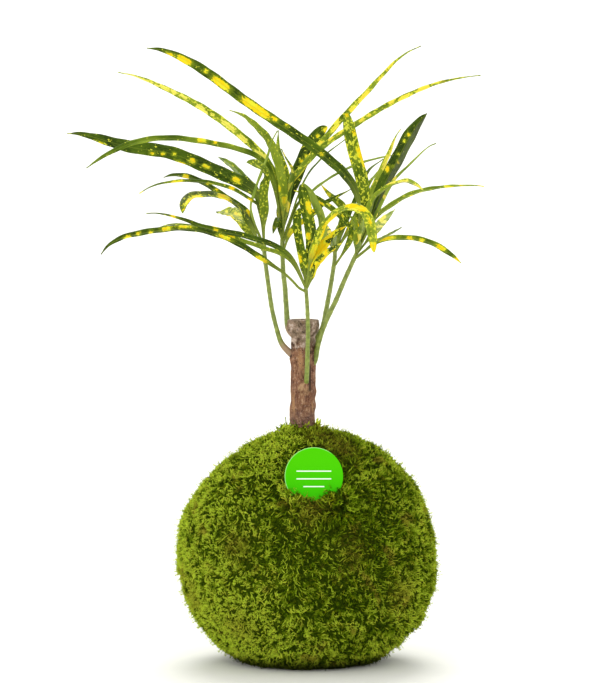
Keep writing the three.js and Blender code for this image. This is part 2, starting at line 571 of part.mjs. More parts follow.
const plant = new THREE.Group();
plant.name = 'kokedama';
plant.add(toMesh(moss, 'moss_cover', 0x6f8a1f, 1));
plant.add(toMesh(soil, 'soil_ball', 0x3b2a1c, 1));
plant.add(toMesh(trunk, 'trunk', 0x7a5a45, 0.9));
for (const [name, shoot] of shoots) plant.add(toMesh(shootBody(shoot), name, 0x2f6b23, 0.5));
plant.add(toMesh(labelBody(0), 'label', 0x4fd60a, 0.45));

export default plant;
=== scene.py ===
"""A kokedama: a moss-wrapped soil ball with a sawn woody cutting, five leafy
croton shoots and a round write-on plant label, on a white studio floor."""
import math
from types import SimpleNamespace as Sizes

import bpy
import numpy as np
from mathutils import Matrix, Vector, noise


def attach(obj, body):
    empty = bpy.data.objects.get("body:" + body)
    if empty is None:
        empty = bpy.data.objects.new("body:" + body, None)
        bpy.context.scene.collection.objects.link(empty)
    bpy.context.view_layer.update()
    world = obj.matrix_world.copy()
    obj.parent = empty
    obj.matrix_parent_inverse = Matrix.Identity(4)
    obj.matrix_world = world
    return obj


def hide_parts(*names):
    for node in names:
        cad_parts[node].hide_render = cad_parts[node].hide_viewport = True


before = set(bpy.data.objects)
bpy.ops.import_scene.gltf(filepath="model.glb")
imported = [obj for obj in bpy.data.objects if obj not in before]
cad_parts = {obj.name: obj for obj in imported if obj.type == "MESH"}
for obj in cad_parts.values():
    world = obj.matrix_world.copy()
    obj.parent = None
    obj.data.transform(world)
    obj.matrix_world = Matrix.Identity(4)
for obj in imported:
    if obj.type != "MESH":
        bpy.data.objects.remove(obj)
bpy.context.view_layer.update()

MM = 0.001
CM2_IN_M2 = 1e4

# ---- driving sizes, in millimetres ----
# The lumps' noise is given by its roughness, lacunarity and octaves.
BALL = Sizes(
    centre_z=53.0, base_radius=62.5, lump=1.2, lump_size=8.0, lump_noise=(0.9, 2.0, 3),
    bare_foot=26.0, lowest_z=0.05, subdivisions=7,
)
# Broad swellings of the ball: direction, height, how sharply each falls off.
SWELLINGS = [
    ((0.62, -0.1, 0.78), 1.0, 7),
    ((-0.72, 0, 0.69), -1.4, 9),
    ((-0.93, -0.1, 0.3), 2.2, 12),
    ((-0.85, -0.1, -0.5), 0.6, 9),
    ((0.92, -0.1, -0.38), 2.0, 10),
    ((0.5, 0, -0.86), -0.8, 12),
    ((-0.6, 0, -0.8), -0.8, 12),
    ((0.1, 0.9, 0.3), 1.6, 6),
    ((-0.04, 0, 1), 1.4, 60),
    ((0, 0, -1), -2.4, 4),
]
# Moss that has grown over the label's lower edges, measured in the same way.
LABEL_MOSS = [
    ((0.235, -0.819, 0.523), 3.9, 190),
    ((-0.14, -0.835, 0.533), 2.2, 190),
]
# Moss twigs, a layer at a time: name, length, half thickness, how far the tip is
# raised (least and most, degrees), how many on a square centimetre, seed.
TWIGS = [
    ("moss_low_a", 2.5, 0.26, -6, 16, 16.5, 1),
    ("moss_low_b", 2.3, 0.26, -2, 20, 16.5, 2),
    ("moss_mid_a", 2.0, 0.24, 2, 26, 16.5, 3),
    ("moss_mid_b", 1.9, 0.24, 6, 30, 16.5, 4),
    ("moss_mid_c", 1.9, 0.23, 8, 34, 16.5, 5),
    ("moss_mid_d", 1.8, 0.23, 10, 38, 16.5, 6),
    ("moss_tips_a", 1.8, 0.22, 12, 42, 16.5, 7),
    ("moss_tips_b", 1.8, 0.21, 14, 46, 16.5, 8),
    ("moss_tips_c", 2.5, 0.19, 28, 78, 12.0, 9),
]
# One twig: its pairs of side branches, and how thick its end is beside its root.
TWIG = Sizes(
    branches=2, branch_share=0.44, branch_angles=(38, 52, 68), lift=0.16, end=0.4,
    first_branch=1.15, next_branch=0.25,
)
# How twigs stand: their size, their turn and roll in radians, and the noise that
# combs them in patches. They stand where their stature is above the least, and
# their lowest point, in metres, is just above the floor.
STAND = Sizes(
    least_stature=0.25, size=(0.55, 1.5), turn=3.1, roll=1.2, comb_scale=90.0, comb=20.0,
    lowest_z=0.0001,
)
# Taller moss round the trunk and over the label's edges.
MOSS_COLLAR = Sizes(start=6.0, radius=12.0, extra=1.5, lip=0.9, lip_rise=0.4)
# Bare inside the trunk, and short moss behind the label.
MOSS_GAPS = Sizes(trunk_overlap=0.4, label_margin=1.0, label_front=2.0, label_foot=2.5, behind_label=0.5)
# Where the moss is lighter or darker, partly its own tone and partly painted light,
# with its left side and rims lighter where the light falls: direction, lightness,
# how sharply it falls off.
MOSS_TONE_AND_PAINTED_LIGHT = [
    ((-0.62, -0.6, -0.5), 0.3, 5),
    ((-0.95, -0.25, 0.2), 0.2, 4),
    ((-0.25, -0.5, 0.83), 0.08, 12),
    ((0.95, -0.3, -0.1), 0.09, 6),
    ((0.1, -0.75, -0.65), 0.02, 8),
    ((0.25, -0.95, 0.2), -0.1, 5),
    ((-0.1, -0.35, 0.93), 0.12, 60),
    ((-0.6, -0.8, 0.15), -0.12, 8),
    ((-0.5, -0.6, -0.65), 0.16, 12),
    ((0.5, -0.75, 0.4), -0.1, 6),
    ((0.14, -0.2, 0.97), -0.22, 60),
    ((0.27, -0.38, 0.88), -0.15, 60),
    ((-0.24, -0.47, 0.85), 0.05, 80),
]
# Where the moss has dried brown, measured in the same way.
DRY_PATCHES = [
    ((0.02, -0.89, 0.45), 0.8, 150),
    ((-0.56, -0.8, 0.18), 0.7, 120),
    ((-0.54, -0.7, -0.46), 0.6, 90),
    ((0.73, -0.64, -0.22), 0.7, 90),
    ((0.35, -0.93, 0.14), 0.6, 150),
    ((-0.9, -0.37, -0.27), 0.7, 120),
    ((0.5, 0.7, 0.2), 0.7, 60),
    ((-0.4, 0.8, -0.3), 0.6, 60),
    ((0.1, -0.2, 0.97), 0.5, 60),
    ((0.27, -0.38, 0.88), 0.7, 120),
]

TRUNK = Sizes(
    x=-2.0, foot_z=113.0, moss_z=119.0, top_z=171.8, radius=6.05, inset=0.1,
    flare=1.3, flare_z=(163.2, 167), swell=0.45, swell_z=(118, 126), bark_fade=4,
    rings=230, sides=120,
)
# Ripples of the bark: height, how many go round, how they climb, phase.
RIPPLES = [(0.28, 5, 0.09, 0), (0.2, 9, -0.23, 1), (0.08, 2, 0.8, 0)]
# Fine relief and flakes of the bark: height, and how fast each turns and climbs.
BARK_RELIEF = Sizes(
    fine=0.22, fine_turn=4.5, fine_climb=0.225, fine_noise=(0.8, 2.1, 4),
    flake=0.35, flake_turn=7.0, flake_climb=0.45, flake_from=0.25,
)
# The sawn cut: its torn rim, its saw marks, and its rings from the rim inwards,
# each with its share of the rim's radius and how deep it lies.
CUT = Sizes(
    drop=0.5, torn=0.9, torn_depth=4.0, torn_turn=4.0, torn_seed=7.0, level=0.4,
    saw=0.12, saw_scale=0.9, saw_seed=3.0, rim_share=0.6,
    rings=[(0.96, 0.0), (0.86, 0.05), (0.7, 0.3), (0.5, 0.45), (0.3, 0.5), (0.12, 0.6)],
)
# Knots, burrs and the callus at the cut: height, bearing in degrees, rise, spread.
KNOTS = [
    (169.5, 10, 1.0, 3),
    (169, 190, 0.8, 3),
    (160, -95, 0.7, 3.5),
    (153, 180, 0.9, 3),
    (150, 0, 0.6, 4),
    (138.5, -92, 1.3, 3.5),
    (136, -10, 0.9, 2.5),
    (128.5, 5, 0.8, 2.5),
    (126, 170, 0.5, 4),
    (124, 95, 0.8, 4),
    (150, 90, 0.9, 4),
]

LABEL = Sizes(
    radius=14.35, thickness=1.0, rim=0.25, tilt=math.radians(10), centre=(3.3, -50.4, 98.3),
    dish=0.08, dish_from=0.9, dish_to=0.55, hub=0.5, sides=96, corner=(0.3, 1.57, 5),
    printed_depth=0.15,
)
STAKE = Sizes(width=8.0, tip=3.0, length=26.0, inset=0.1, root=0.8, shoulder=2.0, point=2.0)
# White lines printed on the label: height, half length. And a line's half thickness.
LABEL_LINES = [(2.6, 8.6), (-1.2, 8.6), (-5.0, 5.2)]
LABEL_LINE = Sizes(outside=0.34, inside=0.22, end=0.15)

# The front view: an eye this far away and a little above.
EYE = Sizes(distance=2500.0, tilt=math.radians(4.5), x=-3.5, z=160.8, up=159.65)
PICTURE = Sizes(height=683, pixels_per_mm=2.0, sensor=36.0, nearest=0.1, farthest=1000.0)

# Each shoot: how thick its foot and its head are, how much of it is woody, and its
# stem's (across, up, depth) points from inside the trunk to the head, as they look
# from the front. Each leaf: where it leaves the stem, blade width, the way its
# upper side faces, (across, up) points, depth at its start, middle and end, its
# tip, its share of long gold blocks and of gold specks, how light its green is.
# Then, by leaf: its gold blots, each with its centre as it looks from the front,
# its half length along the blade and half width across it; a greyish sheen on the
# half of the blade that turns away; and how pale and creamy its gold is.
SHOOT_LEFT = Sizes(
    name="shoot_left", foot=1.2, head=1.15, woody=0.16,
    stem=[(-4.5, 151, 0), (-9, 154.5, 0), (-12.8, 159, -0.5), (-15.1, 165.8, -1), (-17.5, 175.8, -2),
          (-19.1, 186.5, -3), (-21.1, 201.8, -4), (-21.5, 209.8, -5)],
    leaves=[
        (0.97, 7.2, (0.1, -0.92, 0.4), [(-22.5, 230.3), (-26, 235.3), (-34, 239.5), (-46.5, 244.8),
         (-59.5, 250.8), (-72.5, 255), (-85.5, 255.8), (-98.5, 259.3), (-111.5, 263.3), (-120, 263.6)],
         (-3, 8, 8), "broad", 0, 0.14, 0.11),
        (0.99, 3.6, (0, -0.8, 0.6), [(-24.5, 232.8), (-30.5, 240.3), (-37.3, 247.3), (-44.3, 252)],
         (-2, 20, 42), "strap", 0, 0.15, 0.3),
        (1, 5.0, (0.25, -0.85, 0.4), [(-21.5, 222.8), (-22, 235.3), (-20.5, 242.8), (-22.5, 246.3),
         (-25.5, 248.3), (-30, 249.3)], (-8, -24, -38), "blunt", 0.06, 0.42, 0.3),
        (0.95, 3.2, (0, -0.75, 0.65), [(-29.5, 224), (-38, 230), (-46, 235.3), (-52.8, 239.5),
         (-60.5, 242.5), (-67.5, 242.9), (-71.7, 241.8)], (-2, 12, 24), "strap", 0.05, 0.1, 0.1),
        (0.98, 3.2, (0, -0.6, 0.8), [(-22.5, 226.3), (-25.5, 228.3), (-29.5, 231.3), (-38, 236.3),
         (-47.5, 238.8), (-58, 239.9), (-68.3, 239.5), (-77, 237.8), (-83.8, 233.8)], (-8, -22, -34),
         "pointed", 0.05, 0.1, 0.2),
        (0.93, 5, (0, -0.7, 0.7), [(-31.2, 222.3), (-36.5, 228.3), (-42.5, 231.8), (-51, 233), (-58, 232.3),
         (-61.5, 229.3), (-62.2, 224)], (-12, -36, -54), "blunt", 0.08, 0.3, 0.12),
        (0.9, 8.4, (0.1, -0.9, 0.4), [(-31.2, 219.8), (-37.3, 223.3), (-43.3, 224.8)], (4, 24, 46), "blunt",
         0.16, 0.62, 0.4),
        (0.96, 3.6, (1, 0.1, 0.3), [(-28.5, 225.5), (-26.5, 234.3), (-23, 244.8), (-19.8, 252.3),
         (-18.5, 258), (-14.7, 265)], (-8, -13, -22), "pointed", 0, 0.02, 0.5),
    ],
    blots={
        0: [(-103.5, 258.9, 1.6, 0.7), (-77.3, 253.7, 1.0, 0.7), (-71.8, 253.6, 0.8, 0.7),
            (-66.4, 253.3, 0.8, 0.7), (-63.1, 248.7, 2.0, 0.8), (-57.3, 250, 1.5, 1.2),
            (-50.2, 247.1, 1.6, 0.8), (-35.2, 240.4, 2.2, 1.3)],
        3: [(-60.6, 242.2, 1.4, 1.0), (-50.2, 239, 1.0, 0.7), (-45.2, 235.4, 0.8, 0.6)],
        4: [(-65.2, 239.7, 3.0, 0.7), (-37.7, 236.2, 1.4, 1.0), (-28.5, 230.4, 1.2, 0.9)],
        5: [(-41.4, 232.1, 3.5, 1.6), (-60.2, 228.7, 3.0, 0.4), (-55.2, 232.1, 2.5, 0.8)],
        6: [(-34.5, 223.2, 2.2, 0.9), (-40.2, 224.6, 1.0, 0.7)],
    },
    sheen={5: 0.5}, cream={6: 0.3},
)
SHOOT_BACK = Sizes(
    name="shoot_back", foot=1.45, head=1.15, woody=0.12,
    stem=[(-5.5, 162, 1.5), (-9.3, 166.8, 4.5), (-10.4, 177.8, 8), (-11, 186.5, 11), (-11.8, 193.8, 13),
          (-12.2, 201.8, 15.5), (-12.4, 211.3, 18)],
    leaves=[
        (0.98, 4.4, (0.25, -0.85, 0.45), [(-14.5, 235.3), (-17, 244.8), (-22.5, 253), (-29.5, 259.3),
         (-42.5, 269.8), (-55.5, 278.3), (-72.5, 286.8), (-83.8, 292), (-94.5, 294.3)], (18, 21, 30), "long",
         0.12, 0.5, 0.4),
        (0.97, 3.5, (0, -0.8, 0.6), [(-15.5, 235.3), (-19.5, 247.8), (-25, 252.8), (-38, 256.8),
         (-51, 259.3), (-66.5, 261.5), (-77, 261), (-89.8, 258.4), (-102.7, 251.6), (-110.3, 246.4)],
         (13, -8, -22), "strap", 0, 0.08, 0.3),
        (1, 5.2, (0.3, -0.85, 0.4), [(-12, 235.3), (-15, 250.3), (-18.5, 258.3), (-20.8, 262.4),
         (-29.5, 270.8), (-33.5, 273.4), (-38.5, 275.3)], (13, 0, -22), "pointed", 0.04, 0.3, 0.5),
        (0.99, 4.2, (0.3, -0.8, 0.4), [(-10, 235.3), (-12, 247.8), (-14.5, 255.3), (-14.3, 265.3)],
         (19, 26, 40), "pointed", 0.04, 0.38, 0.34),
        (0.96, 3, (1, 0, 0.2), [(-13, 226), (-13.1, 237.3), (-13.8, 248.3)], (24, 38, 56), "pointed", 0,
         0.05, 0.45),
        (0.94, 2.6, (1, 0.2, 0.2), [(-11.4, 226), (-11.2, 237.3), (-11.2, 246.8)], (28, 46, 66), "pointed",
         0, 0.05, 0.4),
        (0.9, 7, (-0.2, -0.9, 0.3), [(-12, 224.3), (-9.5, 232.8), (-4.7, 243.3), (-1, 252.3), (2.3, 258.8),
         (6, 263.8), (10, 267.3)], (22, 30, 38), "blunt", 0, 0.2, 0.02),
        (1, 4, (-0.4, -0.75, 0.5), [(-11.5, 235.3), (-4, 243.3), (2.3, 252.3), (7.5, 258.8), (17.5, 270.8),
         (29.5, 283.4), (38, 292.9), (46.8, 302.4), (57, 307.5)], (18, 19, 24), "long", 0.15, 0.45, 0.34),
        (0.99, 3.6, (-0.4, -0.75, 0.5), [(-10.5, 236.3), (-0.3, 248.3), (6.3, 255.8), (12.3, 260.3),
         (21, 265.8), (38, 276.5), (51, 283), (64, 288.6), (77, 291.6), (86.8, 292.8)], (14, 10, 2), "long",
         0.15, 0.45, 0.3),
        (0.97, 2.6, (-0.6, 0.1, 0.75), [(-1.5, 239.8), (6.5, 250.3), (10.5, 254.3), (19, 260.8)],
         (24, 38, 52), "pointed", 0, 0.02, 0.25),
        (0.93, 3, (0, 0, 1), [(-4.5, 228.8), (2, 233.8), (8.3, 239.3), (19, 245.5), (28.5, 249.3),
         (33.5, 250.8), (43, 253)], (22, 36, 52), "strap", 0.03, 0.05, 0.4),
        (0.85, 3.6, (-0.3, -0.8, 0.5), [(-8, 214.8), (-1.5, 219.8), (3, 223.3), (8, 228.3), (17.5, 233.3),
         (22.5, 236.3)], (16, 14, 15), "pointed", 0.15, 0.4, 0.15),
        (0.95, 2.8, (0, -0.6, 0.6), [(-14.2, 220), (-14.7, 221), (-16, 217), (-17, 213.8)], (14, 6, 0),
         "strap", 0, 0.1, 0.12),
        (1, 3.2, (0.6, 0.6, 0.4), [(-9, 236), (-7, 244.3), (-9.8, 249.8), (-12.7, 256)], (15, 6, -8),
         "pointed", 0.3, 0.2, 0.35),
    ],
    blots={
        0: [(-83.5, 291.2, 8.0, 0.6), (-71.8, 286.7, 4.0, 0.9), (-61.8, 282.1, 2.6, 0.8),
            (-53.5, 276.7, 2.4, 1.1), (-47.3, 272.9, 1.3, 0.7), (-39.3, 267.5, 4.2, 1.2),
            (-32.3, 261.2, 3.0, 1.3), (-24.3, 253.3, 3.2, 0.8), (-17.7, 243.7, 3.0, 1.2)],
        1: [(-52.7, 260.4, 2.2, 1.2), (-46, 259.2, 1.0, 0.7)],
        2: [(-11.4, 230.4, 2.0, 1.4), (-10.3, 226.2, 1.2, 1.0), (-12.8, 222.9, 2.0, 1.3),
            (-14.2, 236.5, 1.6, 1.0)],
        6: [(9.7, 265.7, 1.6, 1.2), (5.3, 262.5, 0.8, 0.8), (6.9, 258.3, 2.0, 1.1), (-0.6, 252.3, 0.8, 0.8),
            (-2.7, 249.6, 0.9, 0.9), (-11.4, 230.4, 2.0, 1.6), (-9.3, 226.4, 1.2, 1.2),
            (-13.3, 223.7, 2.0, 1.4), (-16.7, 232.9, 1.5, 0.9)],
        7: [(48.2, 304.6, 4.2, 0.8), (41.5, 297.5, 2.6, 0.7), (36.5, 291.2, 1.6, 0.7), (28.2, 282, 4.2, 1.1),
            (22.8, 276.2, 2.0, 1.2), (14, 266.6, 3.0, 1.0), (6.5, 257.9, 2.5, 1.5), (-1.8, 246.2, 4.0, 1.5),
            (-5.2, 241.2, 2.0, 1.2)],
        8: [(76.5, 292.1, 2.2, 0.5), (64.8, 289.6, 1.8, 0.6), (59.8, 287.5, 1.3, 0.6), (49, 282, 3.4, 0.8),
            (42.3, 279.2, 1.6, 0.8), (30.7, 272.5, 1.3, 0.6), (27.3, 270.4, 1.6, 0.7),
            (16.5, 264.2, 2.0, 0.7), (11.5, 261.2, 1.5, 0.9)],
        11: [(-8.5, 214.2, 2.4, 1.6), (19.8, 233.3, 1.5, 1.0), (6.9, 224.6, 1.5, 0.7)],
    },
    sheen={}, cream={0: 0.85, 7: 0.35, 8: 0.4},
)
SHOOT_FRONT = Sizes(
    name="shoot_front", foot=1.3, head=1, woody=0.0,
    stem=[(-0.6, 136.5, -3), (-0.2, 140.8, -6.6), (0.2, 151, -8.7), (0.5, 164.3, -11.5), (0.2, 175.3, -14.5),
          (-0.2, 181.8, -17), (-0.7, 187.3, -20)],
    leaves=[
        (0.97, 3.8, (0, -0.7, 0.7), [(-4, 195.3), (-6.5, 200.8), (-10.8, 204.3), (-14.5, 206.8),
         (-25.5, 210.6), (-35.5, 213.3), (-46.5, 215.3), (-55.5, 218), (-64, 221.4), (-73.5, 223.8),
         (-80.3, 223.8)], (-23, -32, -40), "pointed", 0.03, 0.09, 0.12),
        (0.94, 3.9, (0, -0.7, 0.7), [(-5.5, 187.3), (-8, 191.3), (-12.3, 194.8), (-21, 199.8),
         (-29.5, 205.5), (-38, 210.3), (-46.5, 213.3), (-55.5, 215.8), (-65, 216.3), (-75, 215),
         (-85.5, 213.3), (-94, 211.5), (-99.3, 207.8), (-103, 203.3)], (-22, -40, -56), "strap", 0.03, 0.1,
         0.03),
        (0.98, 3.2, (0, -0.6, 0.75), [(-4.5, 194.3), (-9.3, 201.8), (-21, 205.8), (-33.5, 210.3),
         (-42.5, 212.8), (-55.5, 216.8), (-66.5, 218.8), (-75, 216.3)], (-21, -24, -29), "pointed", 0.05,
         0.3, 0.42),
        (1, 5.3, (0, -0.7, 0.7), [(0.5, 192.8), (2.4, 204), (5.2, 209.5), (8, 216.8), (12.3, 221.6),
         (17, 225.4), (21.8, 226.8), (26.5, 226.3), (29.8, 223.3), (31.5, 219.8), (32.5, 214.3), (33, 208.8),
         (33.5, 204.3)], (-22, -46, -58), "blunt", 0.14, 0.5, 0.42),
        (0.97, 4.3, (0, -1, 0.2), [(-1.5, 197.3), (-3, 205.3), (-4.5, 213.3), (-5, 219.8), (-3.8, 226.3)],
         (-22, -30, -38), "blunt", 0.02, 0.4, 0.15),
        (0.99, 5.8, (0, -1, 0.2), [(0.5, 192.3), (2.3, 206.3), (2, 213.3), (1, 219.8), (-0.5, 226.3),
         (-1.8, 232.8), (-3, 238.3)], (-20, -15, -12), "blunt", 0.02, 0.38, 0.15),
        (0.98, 4.6, (0.2, 0.85, 0.5), [(4.5, 198), (7.5, 210.3), (7.5, 219.8), (4.5, 227.3), (1, 234.3),
         (-2.5, 238.8)], (-18, -6, -3), "blunt", 0, 0.3, 0.5),
        (0.99, 6, (-0.3, -0.8, 0.5), [(2.5, 196), (6.5, 204.3), (11, 210.3), (15.5, 214.8), (19.3, 217.3)],
         (-24, -30, -38), "pointed", 0.45, 0.5, 0.06),
        (0.96, 5.5, (-0.3, -0.8, 0.5), [(3, 192.8), (5.5, 198.3), (9, 202.3), (13.8, 206.3), (17, 208.8)],
         (-24, -38, -54), "pointed", 0.5, 0.5, 0.06),
    ],
    blots={
        0: [(-66.8, 222.2, 1.5, 0.7), (-45.6, 215.2, 1.2, 0.8)],
        1: [(-89.8, 211.7, 1.5, 0.8), (-84.3, 213.6, 0.9, 0.8), (-78.1, 214.2, 0.9, 0.8),
            (-70.2, 216, 2.3, 0.9), (-61, 217.1, 3.0, 0.7), (-41, 211.7, 3.0, 0.9),
            (-22.7, 200.8, 3.0, 1.0)],
        3: [(24.8, 226.7, 6.0, 1.4), (11.5, 219.6, 5.0, 1.2), (8.2, 212.9, 4.0, 1.2), (3.2, 204.6, 4.0, 1.4),
            (31.1, 220.4, 2.5, 0.8), (33.2, 207.1, 2.5, 1.5)],
        4: [(-3.9, 201.2, 2.0, 1.3)],
        5: [(0.8, 227.1, 3.4, 1.3), (0.7, 212.5, 1.8, 1.2)],
    },
    sheen={}, cream={},
)
SHOOT_RIGHT_INNER = Sizes(
    name="shoot_right_inner", foot=1.4, head=1.1, woody=0.05,
    stem=[(0.8, 157, 1), (4.8, 161.3, 3.5), (7.8, 166.8, 6.5), (9.3, 173.8, 9.5), (10.5, 180.3, 12.5),
          (12, 188.5, 15.5), (13.7, 199.8, 20), (14, 204.8, 22)],
    leaves=[
        (1, 4.2, (-0.3, -0.8, 0.4), [(17, 216.3), (19, 225.3), (14.5, 230.3), (11, 233.3), (6.5, 238.8)],
         (26, 32, 40), "pointed", 0.12, 0.35, 0.35),
        (0.84, 3.4, (0, -0.75, 0.6), [(17.5, 203), (22.2, 211.3), (21.9, 215.8), (18.9, 219.8),
         (12.5, 225.8), (6, 230.5), (-0.3, 233.1), (-6.5, 235.3)], (17, 7, 7), "strap", 0.08, 0.35, 0.3),
        (1, 2.6, (-0.2, -0.5, 0.8), [(22, 225), (30, 243.8), (38, 251)], (28, 42, 58), "pointed", 0, 0.05,
         0.15),
        (0.98, 2.6, (-0.2, -0.5, 0.8), [(24, 222), (31.5, 239.3), (34, 242.4), (38.3, 248.8)], (27, 35, 46),
         "pointed", 0.35, 0.2, 0.4),
        (0.99, 3.7, (-0.2, -0.9, 0.3), [(25, 221), (35.5, 240.3), (39, 250.3), (41, 252.8), (43.5, 260.8),
         (46.8, 265.8)], (22, 22, 30), "pointed", 0.2, 0.3, 0.6),
        (0.97, 4, (0, -0.5, 0.8), [(14.5, 212), (17, 217), (19, 221)], (36, 56, 78), "pointed", 0.2, 0.2,
         0.3),
        (0.94, 4, (0, -0.5, 0.8), [(12, 210), (9.5, 216), (8, 219)], (34, 54, 74), "pointed", 0.2, 0.2, 0.3),
    ],
    blots={
        0: [(7.8, 236.7, 2.0, 1.5), (10.7, 233.3, 1.2, 0.8)],
        1: [(-1.8, 233.3, 3.0, 1.2)],
        4: [(39.8, 249.6, 4.0, 1.3), (43.6, 258.7, 3.0, 0.9), (32.3, 239.6, 1.5, 1.2)],
    },
    sheen={}, cream={4: 0.7},
)
SHOOT_RIGHT_OUTER = Sizes(
    name="shoot_right_outer", foot=1.5, head=1.15, woody=0.0,
    stem=[(0.2, 144.5, -1), (3.8, 149.8, -1.2), (5.2, 156.8, -2), (6.5, 161.8, -3), (8.6, 167.8, -3.5),
          (11.8, 174.8, -4), (14.5, 180.3, -4), (18.8, 190.5, -3.5), (24.8, 203.8, -2)],
    leaves=[
        (1, 5.3, (0.2, -0.9, 0.37), [(27, 226.3), (25.5, 232.3), (23, 238.3), (20, 242.8), (12.5, 249),
         (1, 258.4), (-13.5, 267.9), (-34, 281.8), (-51, 294.8), (-68.3, 304.3), (-80, 306.4)],
         (-6, -26, -36), "strap", 0, 0.05, 0.1),
        (0.99, 6.5, (0, -1, 0.1), [(28, 227.3), (27.9, 238.8), (25.3, 248.3), (22.7, 258), (20.8, 267.5),
         (19.8, 274.3)], (-2, 0, -3), "blunt", 0.1, 0.58, 0.28),
        (0.98, 7, (-0.3, -0.9, 0.2), [(32, 221.8), (37.5, 235.3), (40.8, 242.8), (45, 249.8), (50.2, 260.3),
         (55.5, 268.8), (60, 273.8)], (0, 6, 12), "strap", 0, 0.05, 0.03),
        (0.99, 1.8, (0.3, 0.3, 0.9), [(34, 222), (41.5, 237.3), (45, 242.3), (48.5, 245.3), (55.5, 252.3),
         (60, 256.8), (64.5, 258.8)], (-6, -15, -28), "pointed", 0.05, 0.1, 0.5),
        (0.97, 3.8, (0.1, -0.75, 0.6), [(30.5, 224.8), (34.7, 232.8), (41.5, 237.3), (46.8, 239.5),
         (52, 239.5), (58, 235.5)], (-9, -26, -44), "strap", 0.1, 0.3, 0.5),
        (0.97, 3.3, (0, -0.6, 0.8), [(32, 219.8), (36.5, 223.8), (43, 228.3), (48.5, 231.8), (54.5, 234.3),
         (64, 236.3), (72.5, 237.3), (83.8, 237.8), (88.5, 237.3)], (0, 14, 32), "pointed", 0.1, 0.15, 0.5),
        (0.98, 4.6, (0.2, -0.6, 0.8), [(33.5, 214.3), (38, 219.8), (44, 225.8)], (6, 30, 56), "pointed",
         0.45, 0.1, 0.55),
        (0.95, 2.2, (0.2, -0.5, 0.8), [(35.2, 209.8), (42.5, 213.8), (47.2, 216.8)], (-10, -28, -50),
         "pointed", 0, 0.05, 0.3),
        (0.95, 3.6, (0, -0.7, 0.7), [(26, 202.5), (30.5, 206.3), (35, 209.8), (40, 210.8), (48.5, 211.5),
         (58, 210.3), (65, 207.5), (71.5, 203.3), (77, 199)], (-3, -8, -15), "strap", 0.03, 0.1, 0.3),
        (0.98, 3.5, (0, -0.6, 0.7), [(25, 212.8), (24.5, 217.8), (22.5, 221.3), (19, 223.8)], (-4, -7, -12),
         "pointed", 0.08, 0.3, 0.45),
        (1, 3.7, (0, -0.7, 0.6), [(25.8, 207.3), (27, 214.3), (28, 221.8)], (-12, -22, -36), "pointed", 0.12,
         0.35, 0.35),
        (0.99, 2.8, (-0.5, -0.6, 0.5), [(31.5, 223.8), (35, 229), (39, 235)], (4, 16, 30), "pointed", 0.4,
         0.2, 0.5),
    ],
    blots={
        0: [(-68.1, 303.1, 1.8, 0.6), (-61.4, 300.3, 3.7, 1.5), (-50.6, 294.8, 1.0, 1.0),
            (-43.1, 288.6, 5.0, 1.7), (-25.6, 276.4, 8.0, 1.9), (-16, 270.8, 1.4, 1.0),
            (-10.2, 267.7, 0.8, 0.7), (7.3, 253.3, 0.9, 0.7)],
        1: [(26.1, 254.2, 3.2, 1.3), (23.6, 263.7, 1.6, 0.7), (19.8, 272.9, 1.0, 0.7)],
        2: [(50.8, 263.1, 0.9, 0.9), (48.6, 260, 0.6, 0.6), (45.7, 253.3, 0.6, 0.6), (45.5, 249.2, 0.5, 0.5),
            (43.2, 247.1, 0.5, 0.5), (40.2, 245.8, 1.6, 0.9)],
        4: [(41.5, 239.2, 2.0, 0.8), (48.2, 239.6, 2.5, 0.8), (55.7, 236.7, 2.5, 1.0)],
        8: [(39.4, 211, 4.5, 0.9), (51.5, 211.4, 1.6, 0.8), (57.3, 210.2, 1.2, 1.0), (66.9, 206.7, 2.4, 1.1),
            (75.5, 200.4, 2.0, 1.0)],
    },
    sheen={2: 0.9, 4: 0.8}, cream={4: 0.6, 6: 0.8},
)
SHOOTS = [SHOOT_LEFT, SHOOT_BACK, SHOOT_FRONT, SHOOT_RIGHT_INNER, SHOOT_RIGHT_OUTER]
# Stems: their mesh, the collar where they leave the trunk, the old leaf scars, and
# how the woody part, by its share, turns green.
STEM = Sizes(
    rings=90, sides=20, end=0.35, inset=0.08, collar=5.0, collar_to=0.3,
    scar=0.1, scars=9, scar_spread=0.12, scars_from=0.2, green=(0.7, 1.4, 0.02),
)
# Blades: a petiole, a swell to the widest place and a tip, a fold along the middle
# with a groove above and a keel below, waves along the edges, and the mesh.
BLADE = Sizes(
    thickness=0.5, petiole=1.15, petiole_share=0.1, widest_from=0.2, fold=0.3, tip=0.28,
    opens=(0.09, 0.3), smoothing=0.045, ring_gap=1.1, rings=(24, 120), crowding=1.15, columns=9,
    edge=1.2, thinnest=0.12, wave=0.045, wave_length=(9, 15), wave_phase=6.28, wave_full=0.3,
    fold_power=1.2, groove=0.22, groove_spread=0.45, keel=0.8, sheen_from=0.5,
)
# Where each tip starts to narrow, as a share of the blade, its bow and roundness.
TIPS = {
    "pointed": (0.5, 1.5, 1.0), "long": (0.45, 2.0, 1.0), "broad": (0.5, 3.0, 1.0),
    "strap": (0.78, 1.6, 0.8), "blunt": (0.8, 2.0, 0.5),
}
# How sharply a blot's corners turn, how far from its edge its shape is kept, and
# the steps along a blade in which its place and its direction are measured.
BLOT = Sizes(corner=4.0, reach=3.0, steps=400, look=3)
# The seed of the first shoot's leaves; the other shoots count on from it.
FIRST_LEAF_SEED = 11

# Studio: the floor's edge in metres, the white surroundings, and broad soft lamps
# (name, height in degrees, bearing from the front, softness, strength).
FLOOR_SIZE = 600.0
WORLD_LIGHT = 1.0
SUNS = [
    ("top", 52, 180, 36, 1.7),
    ("front", 30, -12, 60, 0.8),
    ("left", 12, -95, 40, 0.7),
    ("right", 12, 95, 40, 0.5),
]

